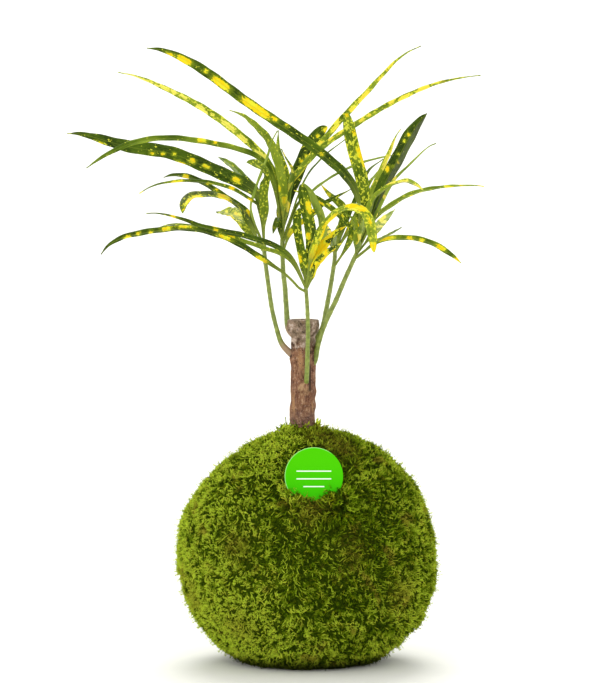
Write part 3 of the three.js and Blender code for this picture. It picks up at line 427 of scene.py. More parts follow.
# ---- colours and patterns ----
# Colours that go from dark to light: place on the ramp, red, green, blue.
RAMPS = {
    "moss_tip": [
        (0.0, 0.006, 0.016, 0.001), (0.4, 0.031, 0.061, 0.001), (0.7, 0.135, 0.225, 0.003),
        (1.0, 0.5, 0.64, 0.042)],
    "moss_golden": [
        (0.0, 0.018, 0.015, 0.001), (0.4, 0.06, 0.055, 0.002), (0.7, 0.235, 0.22, 0.004),
        (1.0, 0.66, 0.65, 0.055)],
    "moss_root": [(0.0, 0.006, 0.014, 0.001), (1.0, 0.03, 0.055, 0.001)],
    "moss_bed": [(0.3, 0.01, 0.02, 0.001), (0.5, 0.035, 0.06, 0.002), (0.7, 0.09, 0.12, 0.006)],
    "soil": [(0.35, 0.012, 0.008, 0.005), (0.7, 0.07, 0.045, 0.028)],
    "bark_brown": [
        (0.37, 0.066, 0.027, 0.016), (0.47, 0.175, 0.078, 0.044), (0.55, 0.243, 0.12, 0.066),
        (0.65, 0.46, 0.29, 0.175)],
    "bark_grey": [
        (0.38, 0.065, 0.042, 0.03), (0.47, 0.18, 0.128, 0.082), (0.55, 0.285, 0.2, 0.145),
        (0.64, 0.52, 0.41, 0.34)],
    "stem": [(0.3, 0.115, 0.155, 0.014), (0.7, 0.26, 0.315, 0.055)],
    "leaf": [
        (0.0, 0.013, 0.033, 0.001), (0.25, 0.06, 0.11, 0.003), (0.5, 0.22, 0.3, 0.022),
        (1.0, 0.48, 0.55, 0.08)],
    "floor": [(0.0, 0.78, 0.775, 0.715), (1.0, 0.82, 0.815, 0.755)],
}
COLOURS = {
    # The darkest moss colour is painted shade for the ball's foot, where it meets the floor.
    "dry_root": (0.028, 0.02, 0.002), "dry_tip": (0.29, 0.225, 0.024), "painted_foot_shade": (0.004, 0.007, 0.001),
    "bark_foot": (0.14, 0.08, 0.064), "bark_worn": (0.4, 0.22, 0.1), "bark_fleck": (0.5, 0.35, 0.26),
    "bark_pit": (0.028, 0.016, 0.012), "callus": (0.44, 0.28, 0.15), "stem_joint": (0.045, 0.024, 0.016),
    "painted_stem_shadow": (0.03, 0.016, 0.01), "woody_stem": (0.31, 0.2, 0.115), "petiole": (0.2, 0.25, 0.04),
    "vein": (0.16, 0.23, 0.02), "rib": (0.25, 0.31, 0.03), "sheen": (0.11, 0.125, 0.065),
    "gold": (0.8, 0.56, 0.004), "lemon": (0.7, 0.7, 0.03), "cream": (0.82, 0.77, 0.13),
    "fringe": (0.3, 0.38, 0.01), "speck": (0.6, 0.62, 0.045), "under_dark": (0.1, 0.17, 0.02),
    # The label's greens hold painted light: lighter at its top, darker at its foot, and a pale rim colour
    # for a painted highlight.
    "under_light": (0.27, 0.35, 0.06), "under_gold": (0.62, 0.58, 0.12), "label_foot": (0.035, 0.45, 0.001),
    "label_painted_lit_top": (0.064, 0.52, 0.001), "label_painted_rim_highlight": (0.5, 0.85, 0.35), "label_print": (0.8, 0.86, 0.78),
}
# Noise over a piece: how fine it is, in cells a metre, its detail, its roughness.
GRAINS = {
    "moss_patch": (70.0, 3.0, 0.55), "moss_browned": (75.0, 3.0, 0.55), "moss_fibre": (900.0, 6.0, 0.7),
    "soil_crumb": (400.0, 8.0, 0.7), "bark_streak": (900.0, 5.0, 0.65), "bark_mottle": (330.0, 4.0, 0.6),
    "bark_pits": (1100.0, 3.0, 0.6), "bark_broad": (150.0, 2.0, 0.55), "bark_flecks": (1400.0, 2.0, 0.55),
    "stem_skin": (500.0, 3.0, 0.55), "stem_ridges": (700.0, 2.0, 0.55), "paper": (60.0, 4.0, 0.55),
}
# Noise on a leaf: how fine across and along the blade, layer, detail, roughness.
LEAF_GRAINS = {
    "ragged": (0.7, 0.5, 31.0, 2.0, 0.6), "frayed": (1.3, 0.8, 23.0, 2.0, 0.6),
    "specks": (0.8, 0.55, 57.0, 2.0, 0.6), "cloud": (0.14, 0.07, 19.0, 2.0, 0.55),
    "vein": (2.4, 0.5, 7.0, 3.0, 0.55), "gilt": (0.5, 0.3, 43.0, 3.0, 0.55),
}
# Long gold blocks: their length on a narrow blade and how it grows with the width,
# their width as a share of the blade's, how ragged they are, layer, softness.
BLOCKS = Sizes(length=1.2, longer=0.24, width=0.8, ragged=0.35, layer=83.0, soft=0.004, ahead=0.45)
# On the bark, in metres: where it turns grey and darkens to the foot, the callus
# under the front stem, a dark line of painted shadow beside it, the scars where
# stems leave. And the shares of streaks and mottle in the brown and the grey, and
# of streaks and pits in the relief.
BARK = Sizes(
    brown=(0.55, 0.45), greyed=(0.25, 0.75), relief=(0.8, 0.6), foot_share=0.5,
    stretch=(1.0, 1.0, 0.3), wander=0.016, grey=(0.157, 0.161), foot=(0.131, 0.121),
    callus=(-0.0012, -0.0075, 0.1374), callus_edge=(0.0042, 0.0028), joint_edge=(0.0035, 0.0018),
    joints=[
        (-0.0088, -0.001, 0.1545), (-0.0075, -0.003, 0.158), (0.0028, -0.004, 0.157),
        (0.0042, -0.003, 0.152),
    ],
    split_x=0.0014, split_edge=(0.0009, 0.0004), split_front=(-0.002, -0.004),
    split_from=(0.1352, 0.1372), split_to=(0.1515, 0.1485),
)
# Soft steps: where each one starts and ends, then its least and its most where
# they aren't 0 and 1. Lengths are in millimetres, the heights of the painted shade
# at the moss's foot in metres.
STEPS = {
    "moss_golden": (0.55, 1.0, 0.0, 0.55), "moss_tip": (0.15, 0.95), "dry_tip": (0.1, 0.95),
    "moss_browned": (0.6, 0.7), "painted_foot_shade": (0.0085, 0.001, 0.0, 0.92),
    "bark_worn": (0.57, 0.68, 0.0, 0.7), "bark_fleck": (0.58, 0.68, 0.0, 0.45),
    "bark_pit": (0.42, 0.33, 0.0, 0.85), "callus": (0.4, 0.58, 0.05, 0.7),
    "stem_joint": (0.6, 0.42, 0.2, 0.85), "woody_stem": (1.0, 0.0), "fringe": (-1.1, 0.1),
    "gold": (-0.12, 0.12), "speck": (-0.012, 0.02), "leaf_edge": (0.34, 0.5, 0.0, 0.14),
    "vein": (0.35, 0.75, 0.0, 0.3), "lemon": (0.4, 0.66), "under_light": (0.35, 0.65),
    "rib": (0.28, 0.1, 0.0, 0.3), "sheen": (0.3, 0.6, 0.35, 0.75), "label_painted_lit_top": (-14.0, 10.0),
    "label_painted_rim_highlight": (0.5, 0.2), "label_painted_highlight_side": (0.0, 9.0, 0.0, 0.5),
}
# How much the moss varies in patches, how dry its dried twigs are, and what makes
# a second number of its own for each twig from its shade.
MOSS_LOOK = Sizes(patch=0.7, dry=0.65, shuffle=37.0)
# How frayed blots are, the noise above which specks show and how it falls where
# there are more of them, how strong clouds, fringes and the underside's colour are.
LEAF_LOOK = Sizes(frayed=2.0, speck_level=0.69, speck_fall=0.25, cloud=0.8, fringe=0.5, under=0.65)


# ---- curves and meshes ----
def smooth(low, high, value):
    share = np.clip((value - low) / (high - low), 0, 1)
    return share * share * (3 - 2 * share)


def place(across, up, depth):
    """A point of the front view, in the part's own frame, in millimetres."""
    sin, cos = math.sin(EYE.tilt), math.cos(EYE.tilt)
    u, v = across - EYE.x, up - EYE.up
    far = EYE.distance
    rise = (v * (1 + depth * cos / far) - depth * sin) / (cos + v * sin / far)
    run = u * (1 + (depth * cos - rise * sin) / far)
    return np.array((EYE.x + run, depth, EYE.z + rise))


def picture(points):
    """Where points in millimetres are seen in the front view: across and up."""
    sin, cos = math.sin(EYE.tilt), math.cos(EYE.tilt)
    rise = points[:, 2] - EYE.z
    near = EYE.distance / (EYE.distance + points[:, 1] * cos - rise * sin)
    across = EYE.x + (points[:, 0] - EYE.x) * near
    up = EYE.up + (rise * cos + points[:, 1] * sin) * near
    return np.stack([across, up], axis=-1)


class Path:
    """A smooth curve through points, read by the share of its length."""

    # Steps between two points, samples of the smoothed curve, and how far to each
    # side, in millimetres, its direction is measured.
    steps = 24
    samples = 161
    look = 0.6

    def __init__(self, points, smoothing=0.0):
        points = np.asarray(points, float)
        ends = np.vstack([2 * points[0] - points[1], points, 2 * points[-1] - points[-2]])
        t = np.linspace(0, 1, self.steps, endpoint=False)[:, None]
        fine = []
        for i in range(len(points) - 1):
            before, start, stop, after = ends[i:i + 4]
            out, into = 0.5 * (stop - before), 0.5 * (after - start)
            fine.append((2 * t**3 - 3 * t**2 + 1) * start + (t**3 - 2 * t**2 + t) * out
                        + (3 * t**2 - 2 * t**3) * stop + (t**3 - t**2) * into)
        self.measure(np.vstack(fine + [points[-1:]]))
        if smoothing:
            self.measure(self.smoothed(smoothing))

    def measure(self, points):
        self.points = points
        self.along = np.concatenate([[0], np.cumsum(np.linalg.norm(np.diff(points, axis=0), axis=1))])
        self.length = self.along[-1]

    def smoothed(self, spread):
        """The same curve with its small wiggles averaged out, and its ends kept."""
        share = np.linspace(0, 1, self.samples)
        room = np.minimum(spread, np.minimum(share, 1 - share) * 0.5 + 1e-4)
        weight = np.exp(-0.5 * ((share[:, None] - share[None, :]) / room[:, None]) ** 2)
        return weight @ self.at(share) / weight.sum(axis=1, keepdims=True)

    def at(self, share):
        where = np.asarray(share) * self.length
        return np.stack([np.interp(where, self.along, self.points[:, k]) for k in range(3)], axis=-1)

    def way(self, share):
        step = self.look / self.length
        return unit(self.at(np.clip(share + step, 0, 1)) - self.at(np.clip(share - step, 0, 1)))


def unit(vectors):
    return vectors / np.linalg.norm(vectors, axis=-1, keepdims=True)


def loft_faces(rings, sides, first=0):
    """Quads between rings of points, and a face over each end."""
    faces = []
    for r in range(rings - 1):
        for i in range(sides):
            a, b = first + r * sides + i, first + r * sides + (i + 1) % sides
            faces.append((a, b, b + sides, a + sides))
    faces.append(tuple(first + i for i in reversed(range(sides))))
    faces.append(tuple(first + (rings - 1) * sides + i for i in range(sides)))
    return faces


def turned_over(faces):
    return [tuple(reversed(face)) for face in faces]


def mesh_object(name, points_mm, faces, material):
    mesh = bpy.data.meshes.new(name)
    mesh.from_pydata([tuple(p) for p in np.asarray(points_mm) * MM], [], faces)
    mesh.polygons.foreach_set("use_smooth", [True] * len(mesh.polygons))
    mesh.materials.append(material)
    mesh.update()
    return linked(bpy.data.objects.new(name, mesh))


def linked(made):
    bpy.context.scene.collection.objects.link(made)
    return made


def store(piece, name, values):
    """A number for each point of a mesh, which its material reads by name."""
    layer = piece.data.attributes.new(name, "FLOAT", "POINT")
    layer.data.foreach_set("value", np.asarray(values, np.float32))


def unwrap(piece, name, flat):
    """A UV map from two numbers for each point of a mesh, in millimetres."""
    layer = piece.data.uv_layers.new(name=name)
    corners = np.empty(len(piece.data.loops), np.int32)
    piece.data.loops.foreach_get("vertex_index", corners)
    layer.data.foreach_set("uv", np.asarray(flat, np.float32)[corners].ravel())


def finish_piece(piece, slot, *nodes):
    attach(piece, "root")
    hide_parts(*nodes)


# ---- nodes ----
class Nodes:
    """A tree of nodes, added and joined in a line or two."""

    def __init__(self, tree):
        self.tree = tree

    def join(self, value, socket):
        if isinstance(value, bpy.types.NodeSocket):
            self.tree.links.new(value, socket)
        else:
            socket.default_value = value

    def node(self, kind, inputs=(), **settings):
        made = self.tree.nodes.new(kind)
        for key, value in settings.items():
            setattr(made, key, value)
        for key, value in dict(inputs).items():
            self.join(value, made.inputs[key])
        return made

    def first(self, kind, inputs=(), **settings):
        """The first output of a new node."""
        return self.node(kind, inputs, **settings).outputs[0]

    def maths(self, operation, first, second=0.0):
        return self.first("ShaderNodeMath", {0: first, 1: second}, operation=operation)

    def add(self, first, second):
        return self.maths("ADD", first, second)

    def minus(self, first, second):
        return self.maths("SUBTRACT", first, second)

    def times(self, first, second):
        return self.maths("MULTIPLY", first, second)

    def over(self, first, second):
        return self.maths("DIVIDE", first, second)

    def larger(self, first, second):
        return self.maths("MAXIMUM", first, second)

    def size(self, value):
        return self.maths("ABSOLUTE", value)

    def blend(self, first, second, shares):
        return self.add(self.times(first, shares[0]), self.times(second, shares[1]))

    def swing(self, noise, height=1.0):
        """A noise's swing to both sides of nought, at a given height."""
        return self.times(self.minus(noise, 0.5), height)

    def vector(self, x=0.0, y=0.0, z=0.0):
        return self.first("ShaderNodeCombineXYZ", {"X": x, "Y": y, "Z": z})

    def axes(self, vector):
        return self.node("ShaderNodeSeparateXYZ", {0: vector}).outputs


class Finish(Nodes):
    """A material's nodes. Colours are sockets or names from COLOURS."""

    def __init__(self, name):
        self.material = bpy.data.materials.new(name)
        self.material.use_nodes = True
        super().__init__(self.material.node_tree)
        self.shader = self.tree.nodes["Principled BSDF"]

    @property
    def place(self):
        return self.node("ShaderNodeTexCoord").outputs["Object"]

    def paint(self, colour, roughness, shine=0.5):
        """The shader's own colour and gloss: the material is done."""
        for key, value in (("Base Color", colour), ("Roughness", roughness), ("Specular IOR Level", shine)):
            self.join(value, self.shader.inputs[key])
        return self.material

    def bump(self, height, strength, distance_mm):
        made = self.first("ShaderNodeBump", {
            "Height": height, "Strength": strength, "Distance": distance_mm * MM})
        self.join(made, self.shader.inputs["Normal"])

    def number(self, name):
        return self.node("ShaderNodeAttribute", attribute_name=name).outputs["Fac"]

    def map(self, name):
        """Across and along, in millimetres, on a piece's own UV map."""
        return self.axes(self.first("ShaderNodeUVMap", uv_map=name))[:2]

    def noise(self, where, scale, detail, roughness):
        return self.node("ShaderNodeTexNoise", {
            "Vector": where, "Scale": scale, "Detail": detail, "Roughness": roughness}).outputs["Fac"]

    def grain(self, name):
        return self.noise(self.place, *GRAINS[name])

    def spread(self, value, low, high, out_low=0.0, out_high=1.0):
        """A soft step: the first result below low, the second above high."""
        return self.first("ShaderNodeMapRange", {
            "Value": value, "From Min": low, "From Max": high, "To Min": out_low, "To Max": out_high,
        }, interpolation_type="SMOOTHSTEP")

    def step(self, value, name):
        return self.spread(value, *STEPS[name])

    def mix(self, share, first, second):
        made = self.node("ShaderNodeMix", {0: share}, data_type="RGBA", blend_type="MIX")
        for value, socket in ((first, made.inputs[6]), (second, made.inputs[7])):
            self.join((*COLOURS[value], 1.0) if isinstance(value, str) else value, socket)
        return made.outputs[2]

    def ramp(self, value, name):
        made = self.node("ShaderNodeValToRGB", {"Fac": value})
        marks = made.color_ramp.elements
        while len(marks) < len(RAMPS[name]):
            marks.new(0.5)
        for mark, (where, *colour) in zip(marks, RAMPS[name]):
            mark.position = where
            mark.color = (*colour, 1.0)
        return made.outputs["Color"]

    def near(self, point, edge):
        """How near a place is to one point, between an outer and an inner edge."""
        away = self.node("ShaderNodeVectorMath", {0: self.place, 1: point}, operation="DISTANCE")
        return self.spread(away.outputs["Value"], *edge)


# ---- materials ----
def moss_finish():
    """Moss twigs: dark at the root, yellow-green at the tip, partly their own colour and
    partly painted shade among the twigs and painted highlights on their tips; dried in
    patches; and darkened by painted shade at the ball's foot, where it meets the floor."""
    f = Finish("moss_twigs")
    rise, shade = f.number("rise"), f.number("shade")
    patch = f.swing(f.grain("moss_patch"), MOSS_LOOK.patch)
    # The stored light number adds the moss's own tone and painted light: its left side and rims lighter.
    level = f.add(f.add(shade, patch), f.number("light"))
    own = f.maths("FRACT", f.times(shade, MOSS_LOOK.shuffle))
    tip = f.mix(f.step(own, "moss_golden"), f.ramp(level, "moss_tip"), f.ramp(level, "moss_golden"))
    # Painted shade and highlights: each twig is darker towards its root, for the shade in the gaps among the
    # twigs, and lighter at its tip, on top of the moss's own colour.
    green = f.mix(f.step(rise, "moss_tip"), f.ramp(level, "moss_root"), tip)
    dry = f.mix(f.step(rise, "dry_tip"), "dry_root", "dry_tip")
    browned = f.larger(f.step(f.grain("moss_browned"), "moss_browned"), f.number("dry"))
    worn = f.mix(f.times(browned, MOSS_LOOK.dry), green, dry)
    # Painted shade: the moss darkens towards the floor, where the ball meets it.
    foot_shade = f.step(f.axes(f.place)["Z"], "painted_foot_shade")
    return f.paint(f.mix(foot_shade, worn, "painted_foot_shade"), roughness=0.9, shine=0.02)


def moss_bed_finish():
    f = Finish("moss_bed")
    fibre = f.grain("moss_fibre")
    f.bump(fibre, strength=0.8, distance_mm=0.6)
    return f.paint(f.ramp(fibre, "moss_bed"), roughness=0.95, shine=0.0)


def soil_finish():
    f = Finish("moist_soil")
    crumb = f.grain("soil_crumb")
    f.bump(crumb, strength=1.0, distance_mm=1.0)
    return f.paint(f.ramp(crumb, "soil"), roughness=0.95)


def bark_finish():
    """Fine fibrous bark: grey and mottled by the cut, reddish brown further down, with
    a dark line of painted shadow beside the front stem.
    """
    f = Finish("bark")
    x, y, height = f.axes(f.place)
    fibre = f.first("ShaderNodeMapping", {"Vector": f.place, "Scale": BARK.stretch})
    streak, broad = f.noise(fibre, *GRAINS["bark_streak"]), f.noise(fibre, *GRAINS["bark_broad"])
    mottle, pits = f.grain("bark_mottle"), f.grain("bark_pits")
    brown = f.ramp(f.blend(streak, mottle, BARK.brown), "bark_brown")
    grey = f.ramp(f.blend(streak, mottle, BARK.greyed), "bark_grey")
    level = f.add(height, f.swing(mottle, BARK.wander))
    foot = f.times(f.spread(level, *BARK.foot), BARK.foot_share)
    skin = f.mix(foot, f.mix(f.spread(level, *BARK.grey), brown, grey), "bark_foot")
    skin = f.mix(f.step(broad, "bark_worn"), skin, "bark_worn")
    skin = f.mix(f.step(f.grain("bark_flecks"), "bark_fleck"), skin, "bark_fleck")
    skin = f.mix(f.step(pits, "bark_pit"), skin, "bark_pit")
    rough = f.step(streak, "callus")
    skin = f.mix(f.times(f.near(BARK.callus, BARK.callus_edge), rough), skin, "callus")
    for joint in BARK.joints:
        dark = f.step(mottle, "stem_joint")
        skin = f.mix(f.times(f.near(joint, BARK.joint_edge), dark), skin, "stem_joint")
    # Painted shadow: a dark line down the bark beside the front stem.
    beside = f.spread(f.size(f.minus(x, BARK.split_x)), *BARK.split_edge)
    gap = f.times(beside, f.spread(y, *BARK.split_front))
    gap = f.times(gap, f.spread(height, *BARK.split_from))
    gap = f.times(gap, f.spread(height, *BARK.split_to, 0.0, 0.85))
    f.bump(f.blend(streak, pits, BARK.relief), strength=0.9, distance_mm=0.45)
    return f.paint(f.mix(gap, skin, "painted_stem_shadow"), roughness=0.85, shine=0.15)


def stem_finish():
    """Green shoots that turn woody brown where they leave the trunk."""
    f = Finish("green_stem")
    woody = f.step(f.number("green"), "woody_stem")
    f.bump(f.grain("stem_ridges"), strength=0.3, distance_mm=0.15)
    return f.paint(f.mix(woody, f.ramp(f.grain("stem_skin"), "stem"), "woody_stem"), roughness=0.5)


def leaf_finish():
    """Croton leaves: green, with long gold blocks and small gold specks."""
    f = Finish("croton_leaf")
    across, along = f.map("blade")
    width, seed = f.number("width"), f.number("seed")

    def grain(name):
        """Noise on the blade's surface; the seed picks the leaf's own part of it."""
        fine_across, fine_along, layer, detail, roughness = LEAF_GRAINS[name]
        where = f.vector(f.times(across, fine_across), f.times(along, fine_along), f.times(seed, layer))
        return f.noise(where, 1.0, detail, roughness)

    ragged = f.swing(grain("ragged"))
    inside = f.add(f.number("blot"), f.swing(grain("frayed"), LEAF_LOOK.frayed))
    length = f.add(BLOCKS.length, f.times(f.times(width, width), BLOCKS.longer))
    sideways = f.add(f.over(across, f.times(width, BLOCKS.width)), ragged)

    def blocks(shift):
        """Blocks about as wide as the blade, and longer on the widest leaves."""
        lengthwise = f.add(f.over(f.add(along, shift), length), f.times(ragged, BLOCKS.ragged))
        where = f.vector(sideways, lengthwise, f.times(seed, BLOCKS.layer))
        cells = f.node("ShaderNodeTexVoronoi", {"Vector": where, "Scale": 1.0})
        pick = f.first("ShaderNodeSeparateColor", {"Color": cells.outputs["Color"]})
        return f.spread(f.minus(f.number("gold"), pick), -BLOCKS.soft, BLOCKS.soft)

    fringe = f.larger(blocks(BLOCKS.ahead), blocks(-BLOCKS.ahead))
    fringe = f.larger(fringe, f.step(inside, "fringe"))
    block = f.larger(blocks(0.0), f.step(inside, "gold"))
    level = f.minus(LEAF_LOOK.speck_level, f.times(f.number("specks"), LEAF_LOOK.speck_fall))
    speck = f.step(f.minus(grain("specks"), level), "speck")

    cloud, vein = grain("cloud"), grain("vein")
    edge = f.step(f.over(f.size(across), width), "leaf_edge")
    shade = f.add(f.add(f.number("tone"), f.swing(cloud, LEAF_LOOK.cloud)), edge)
    green = f.mix(f.step(vein, "vein"), f.ramp(shade, "leaf"), "vein")
    green = f.mix(f.times(fringe, LEAF_LOOK.fringe), green, "fringe")
    yellow = f.mix(f.step(grain("gilt"), "lemon"), "gold", "lemon")
    yellow = f.mix(f.number("cream"), yellow, "cream")
    upper = f.mix(block, f.mix(speck, green, "speck"), yellow)
    lower = f.mix(block, f.mix(f.step(cloud, "under_light"), "under_dark", "under_light"), "under_gold")
    face = f.mix(f.times(f.number("under"), LEAF_LOOK.under), upper, lower)
    face = f.mix(f.step(f.size(across), "rib"), face, "rib")
    face = f.mix(f.times(f.number("sheen"), f.step(vein, "sheen")), face, "sheen")
    f.bump(vein, strength=0.25, distance_mm=0.2)
    return f.paint(f.mix(f.number("blade_part"), "petiole", face), roughness=0.45, shine=0.06)


def label_finish():
    """Bright green plastic with plain white write-on lines printed on the front, and
    painted light: lighter green towards the top, darker at the foot, and a pale
    painted highlight along the upper-left rim.
    """
    f = Finish("label_plastic")
    across, up = f.map("face")
    printed = 0.0
    for height, half in LABEL_LINES:
        thin = f.spread(f.size(f.minus(up, height)), LABEL_LINE.outside, LABEL_LINE.inside)
        short = f.spread(f.size(across), half, half - LABEL_LINE.end)
        printed = f.larger(f.times(thin, short), printed)
    # Painted light: the label's green is lighter towards its top and darker at its foot.
    green = f.mix(f.step(up, "label_painted_lit_top"), "label_foot", "label_painted_lit_top")
    out = f.maths("SQRT", f.add(f.times(across, across), f.times(up, up)))
    # Painted highlight: a pale line along the label's upper-left rim.
    rim = f.step(f.minus(LABEL.radius, out), "label_painted_rim_highlight")
    lit = f.step(f.minus(up, across), "label_painted_highlight_side")
    edged = f.mix(f.times(rim, lit), green, "label_painted_rim_highlight")
    printed = f.times(printed, f.number("front"))
    return f.paint(f.mix(printed, edged, "label_print"), roughness=0.4, shine=0.02)


def floor_finish():
    f = Finish("white_floor")
    return f.paint(f.ramp(f.grain("paper"), "floor"), roughness=0.7)


# ---- the ball ----
def lobes(way, table):
    """The sum of a table's rounded lobes, seen from the ball's centre."""
    total = 0.0
    for direction, height, sharpness in table:
        total += height * math.exp(sharpness * (way.dot(Vector(direction).normalized()) - 1))
    return total


def ball_point(way):
    """The surface of the moss bed in one direction from the ball's centre."""
    lump = noise.fractal(way * BALL.base_radius / BALL.lump_size, *BALL.lump_noise)
    radius = BALL.base_radius + lobes(way, SWELLINGS + LABEL_MOSS) + BALL.lump * lump
    return way * radius + Vector((0, 0, BALL.centre_z))


def label_frame():
    """The label's centre, and its across, up and front directions."""
    tilt = LABEL.tilt
    up = Vector((0, math.sin(tilt), math.cos(tilt)))
    front = Vector((0, -math.cos(tilt), math.sin(tilt)))
    return Vector(LABEL.centre), Vector((1, 0, 0)), up, front


def stature(way, point, label_at):
    """The size of the twigs at a point of the ball, where 1 is their usual size."""
    size = 1.0
    from_trunk = math.hypot(point.x - TRUNK.x, point.y)
    if point.z > BALL.centre_z:
        size += MOSS_COLLAR.extra * (1 - smooth(MOSS_COLLAR.start, MOSS_COLLAR.radius, from_trunk))
        if from_trunk < TRUNK.radius - MOSS_GAPS.trunk_overlap:
            size = 0.0
    centre, across, up, front = label_at
    offset = point - centre
    above = offset.dot(up)
    beside = math.hypot(offset.dot(across), above) < LABEL.radius + MOSS_GAPS.label_margin
    behind = offset.dot(front) < MOSS_GAPS.label_front and point.y < 0
    if beside and behind and above > -LABEL.radius + MOSS_GAPS.label_foot:
        size = MOSS_GAPS.behind_label
    size += MOSS_COLLAR.lip * min(1.0, MOSS_COLLAR.lip_rise * lobes(way, LABEL_MOSS))
    if point.z < 0 and math.hypot(point.x, point.y) < BALL.bare_foot:
        size = 0.0
    return size


def moss_bed():
    """The dark bed that the twigs grow from: lumpy, and flat underneath."""
    bpy.ops.mesh.primitive_ico_sphere_add(subdivisions=BALL.subdivisions, radius=1)
    made = bpy.context.object
    ways = [v.co.normalized() for v in made.data.vertices]
    faces = [tuple(p.vertices) for p in made.data.polygons]
    bpy.data.objects.remove(made)
    label_at = label_frame()
    surface = [ball_point(way) for way in ways]
    points = [(p.x, p.y, max(p.z, BALL.lowest_z)) for p in surface]
    bed = mesh_object("moss_bed", points, faces, moss_bed_finish())
    store(bed, "stature", [stature(way, point, label_at) for way, point in zip(ways, surface)])
    # The light number holds the moss's own tone and painted light on its left side and rims.
    store(bed, "light", [lobes(way, MOSS_TONE_AND_PAINTED_LIGHT) for way in ways])
    store(bed, "dry", [lobes(way, DRY_PATCHES) for way in ways])
    return bed


class Tree(Nodes):
    """A Geometry Nodes group with named inputs."""

    def __init__(self, name, inputs):
        super().__init__(bpy.data.node_groups.new(name, "GeometryNodeTree"))
        self.inputs = {}
        for key, kind in inputs.items():
            made = self.tree.interface.new_socket(key, in_out="INPUT", socket_type="NodeSocket" + kind)
            self.inputs[key] = made.identifier
        self.tree.interface.new_socket("Geometry", in_out="OUTPUT", socket_type="NodeSocketGeometry")
        self.given = self.tree.nodes.new("NodeGroupInput").outputs

    def random(self, low, high):
        limits = {2: low, 3: high, "Seed": self.given["Seed"]}
        return self.node("FunctionNodeRandomValue", limits, data_type="FLOAT").outputs[1]

    def turned(self, rotation, x=0.0, y=0.0, z=0.0):
        """A rotation, turned further about its own axes."""
        more = self.first("FunctionNodeEulerToRotation", {0: self.vector(x, y, z)})
        return self.first("FunctionNodeRotateRotation", {0: rotation, 1: more}, rotation_space="LOCAL")

    def stored(self, geometry, name, value, domain="POINT"):
        return self.first("GeometryNodeStoreNamedAttribute", {
            "Geometry": geometry, "Name": name, "Value": value}, data_type="FLOAT", domain=domain)

    def realized(self, geometry):
        return self.first("GeometryNodeRealizeInstances", {"Geometry": geometry})

    def position(self):
        return self.axes(self.first("GeometryNodeInputPosition"))


def twig(tree, opening):
    """One feathery moss twig along +X, with pairs of side branches."""
    length, thick = tree.given["Length"], tree.given["Half thickness"]
    tip = tree.vector(length, 0.0, tree.times(length, TWIG.lift))
    axis = tree.first("GeometryNodeCurvePrimitiveLine", {"Start": (0.0, 0.0, 0.0), "End": tip})
    share = tree.first("GeometryNodeSplineParameter")
    taper = tree.first("ShaderNodeMapRange", {"Value": share, "To Min": 1.0, "To Max": TWIG.end})
    profile = tree.first("GeometryNodeCurvePrimitiveCircle", {"Resolution": 3, "Radius": 1.0})
    stalk = tree.first("GeometryNodeCurveToMesh", {
        "Curve": axis, "Profile Curve": profile, "Scale": tree.times(thick, taper), "Fill Caps": True})
    spots = tree.node("GeometryNodeCurveToPoints", {"Curve": axis, "Count": TWIG.branches + 1}).outputs
    cone = tree.first("GeometryNodeMeshCone", {
        "Vertices": 3, "Radius Top": 0.0, "Radius Bottom": thick,
        "Depth": tree.times(length, TWIG.branch_share)}, fill_type="NGON")
    row = tree.first("GeometryNodeInputIndex")
    reach = tree.minus(TWIG.first_branch, tree.times(row, TWIG.next_branch))
    above_root = tree.first("FunctionNodeCompare", {2: row, 3: 0}, data_type="INT", operation="GREATER_THAN")
    parts = tree.node("GeometryNodeJoinGeometry", {0: stalk})
    for way in (-1, 1):
        aim = tree.turned(spots["Rotation"], y=way * math.radians(opening))
        branches = tree.first("GeometryNodeInstanceOnPoints", {
            "Points": spots["Points"], "Selection": above_root, "Instance": cone,
            "Rotation": aim, "Scale": reach})
        tree.join(branches, parts.inputs[0])
    place = tree.position()
    away = tree.over(tree.add(place["X"], tree.size(place["Y"])), length)
    return tree.stored(tree.realized(parts.outputs[0]), "rise", away)


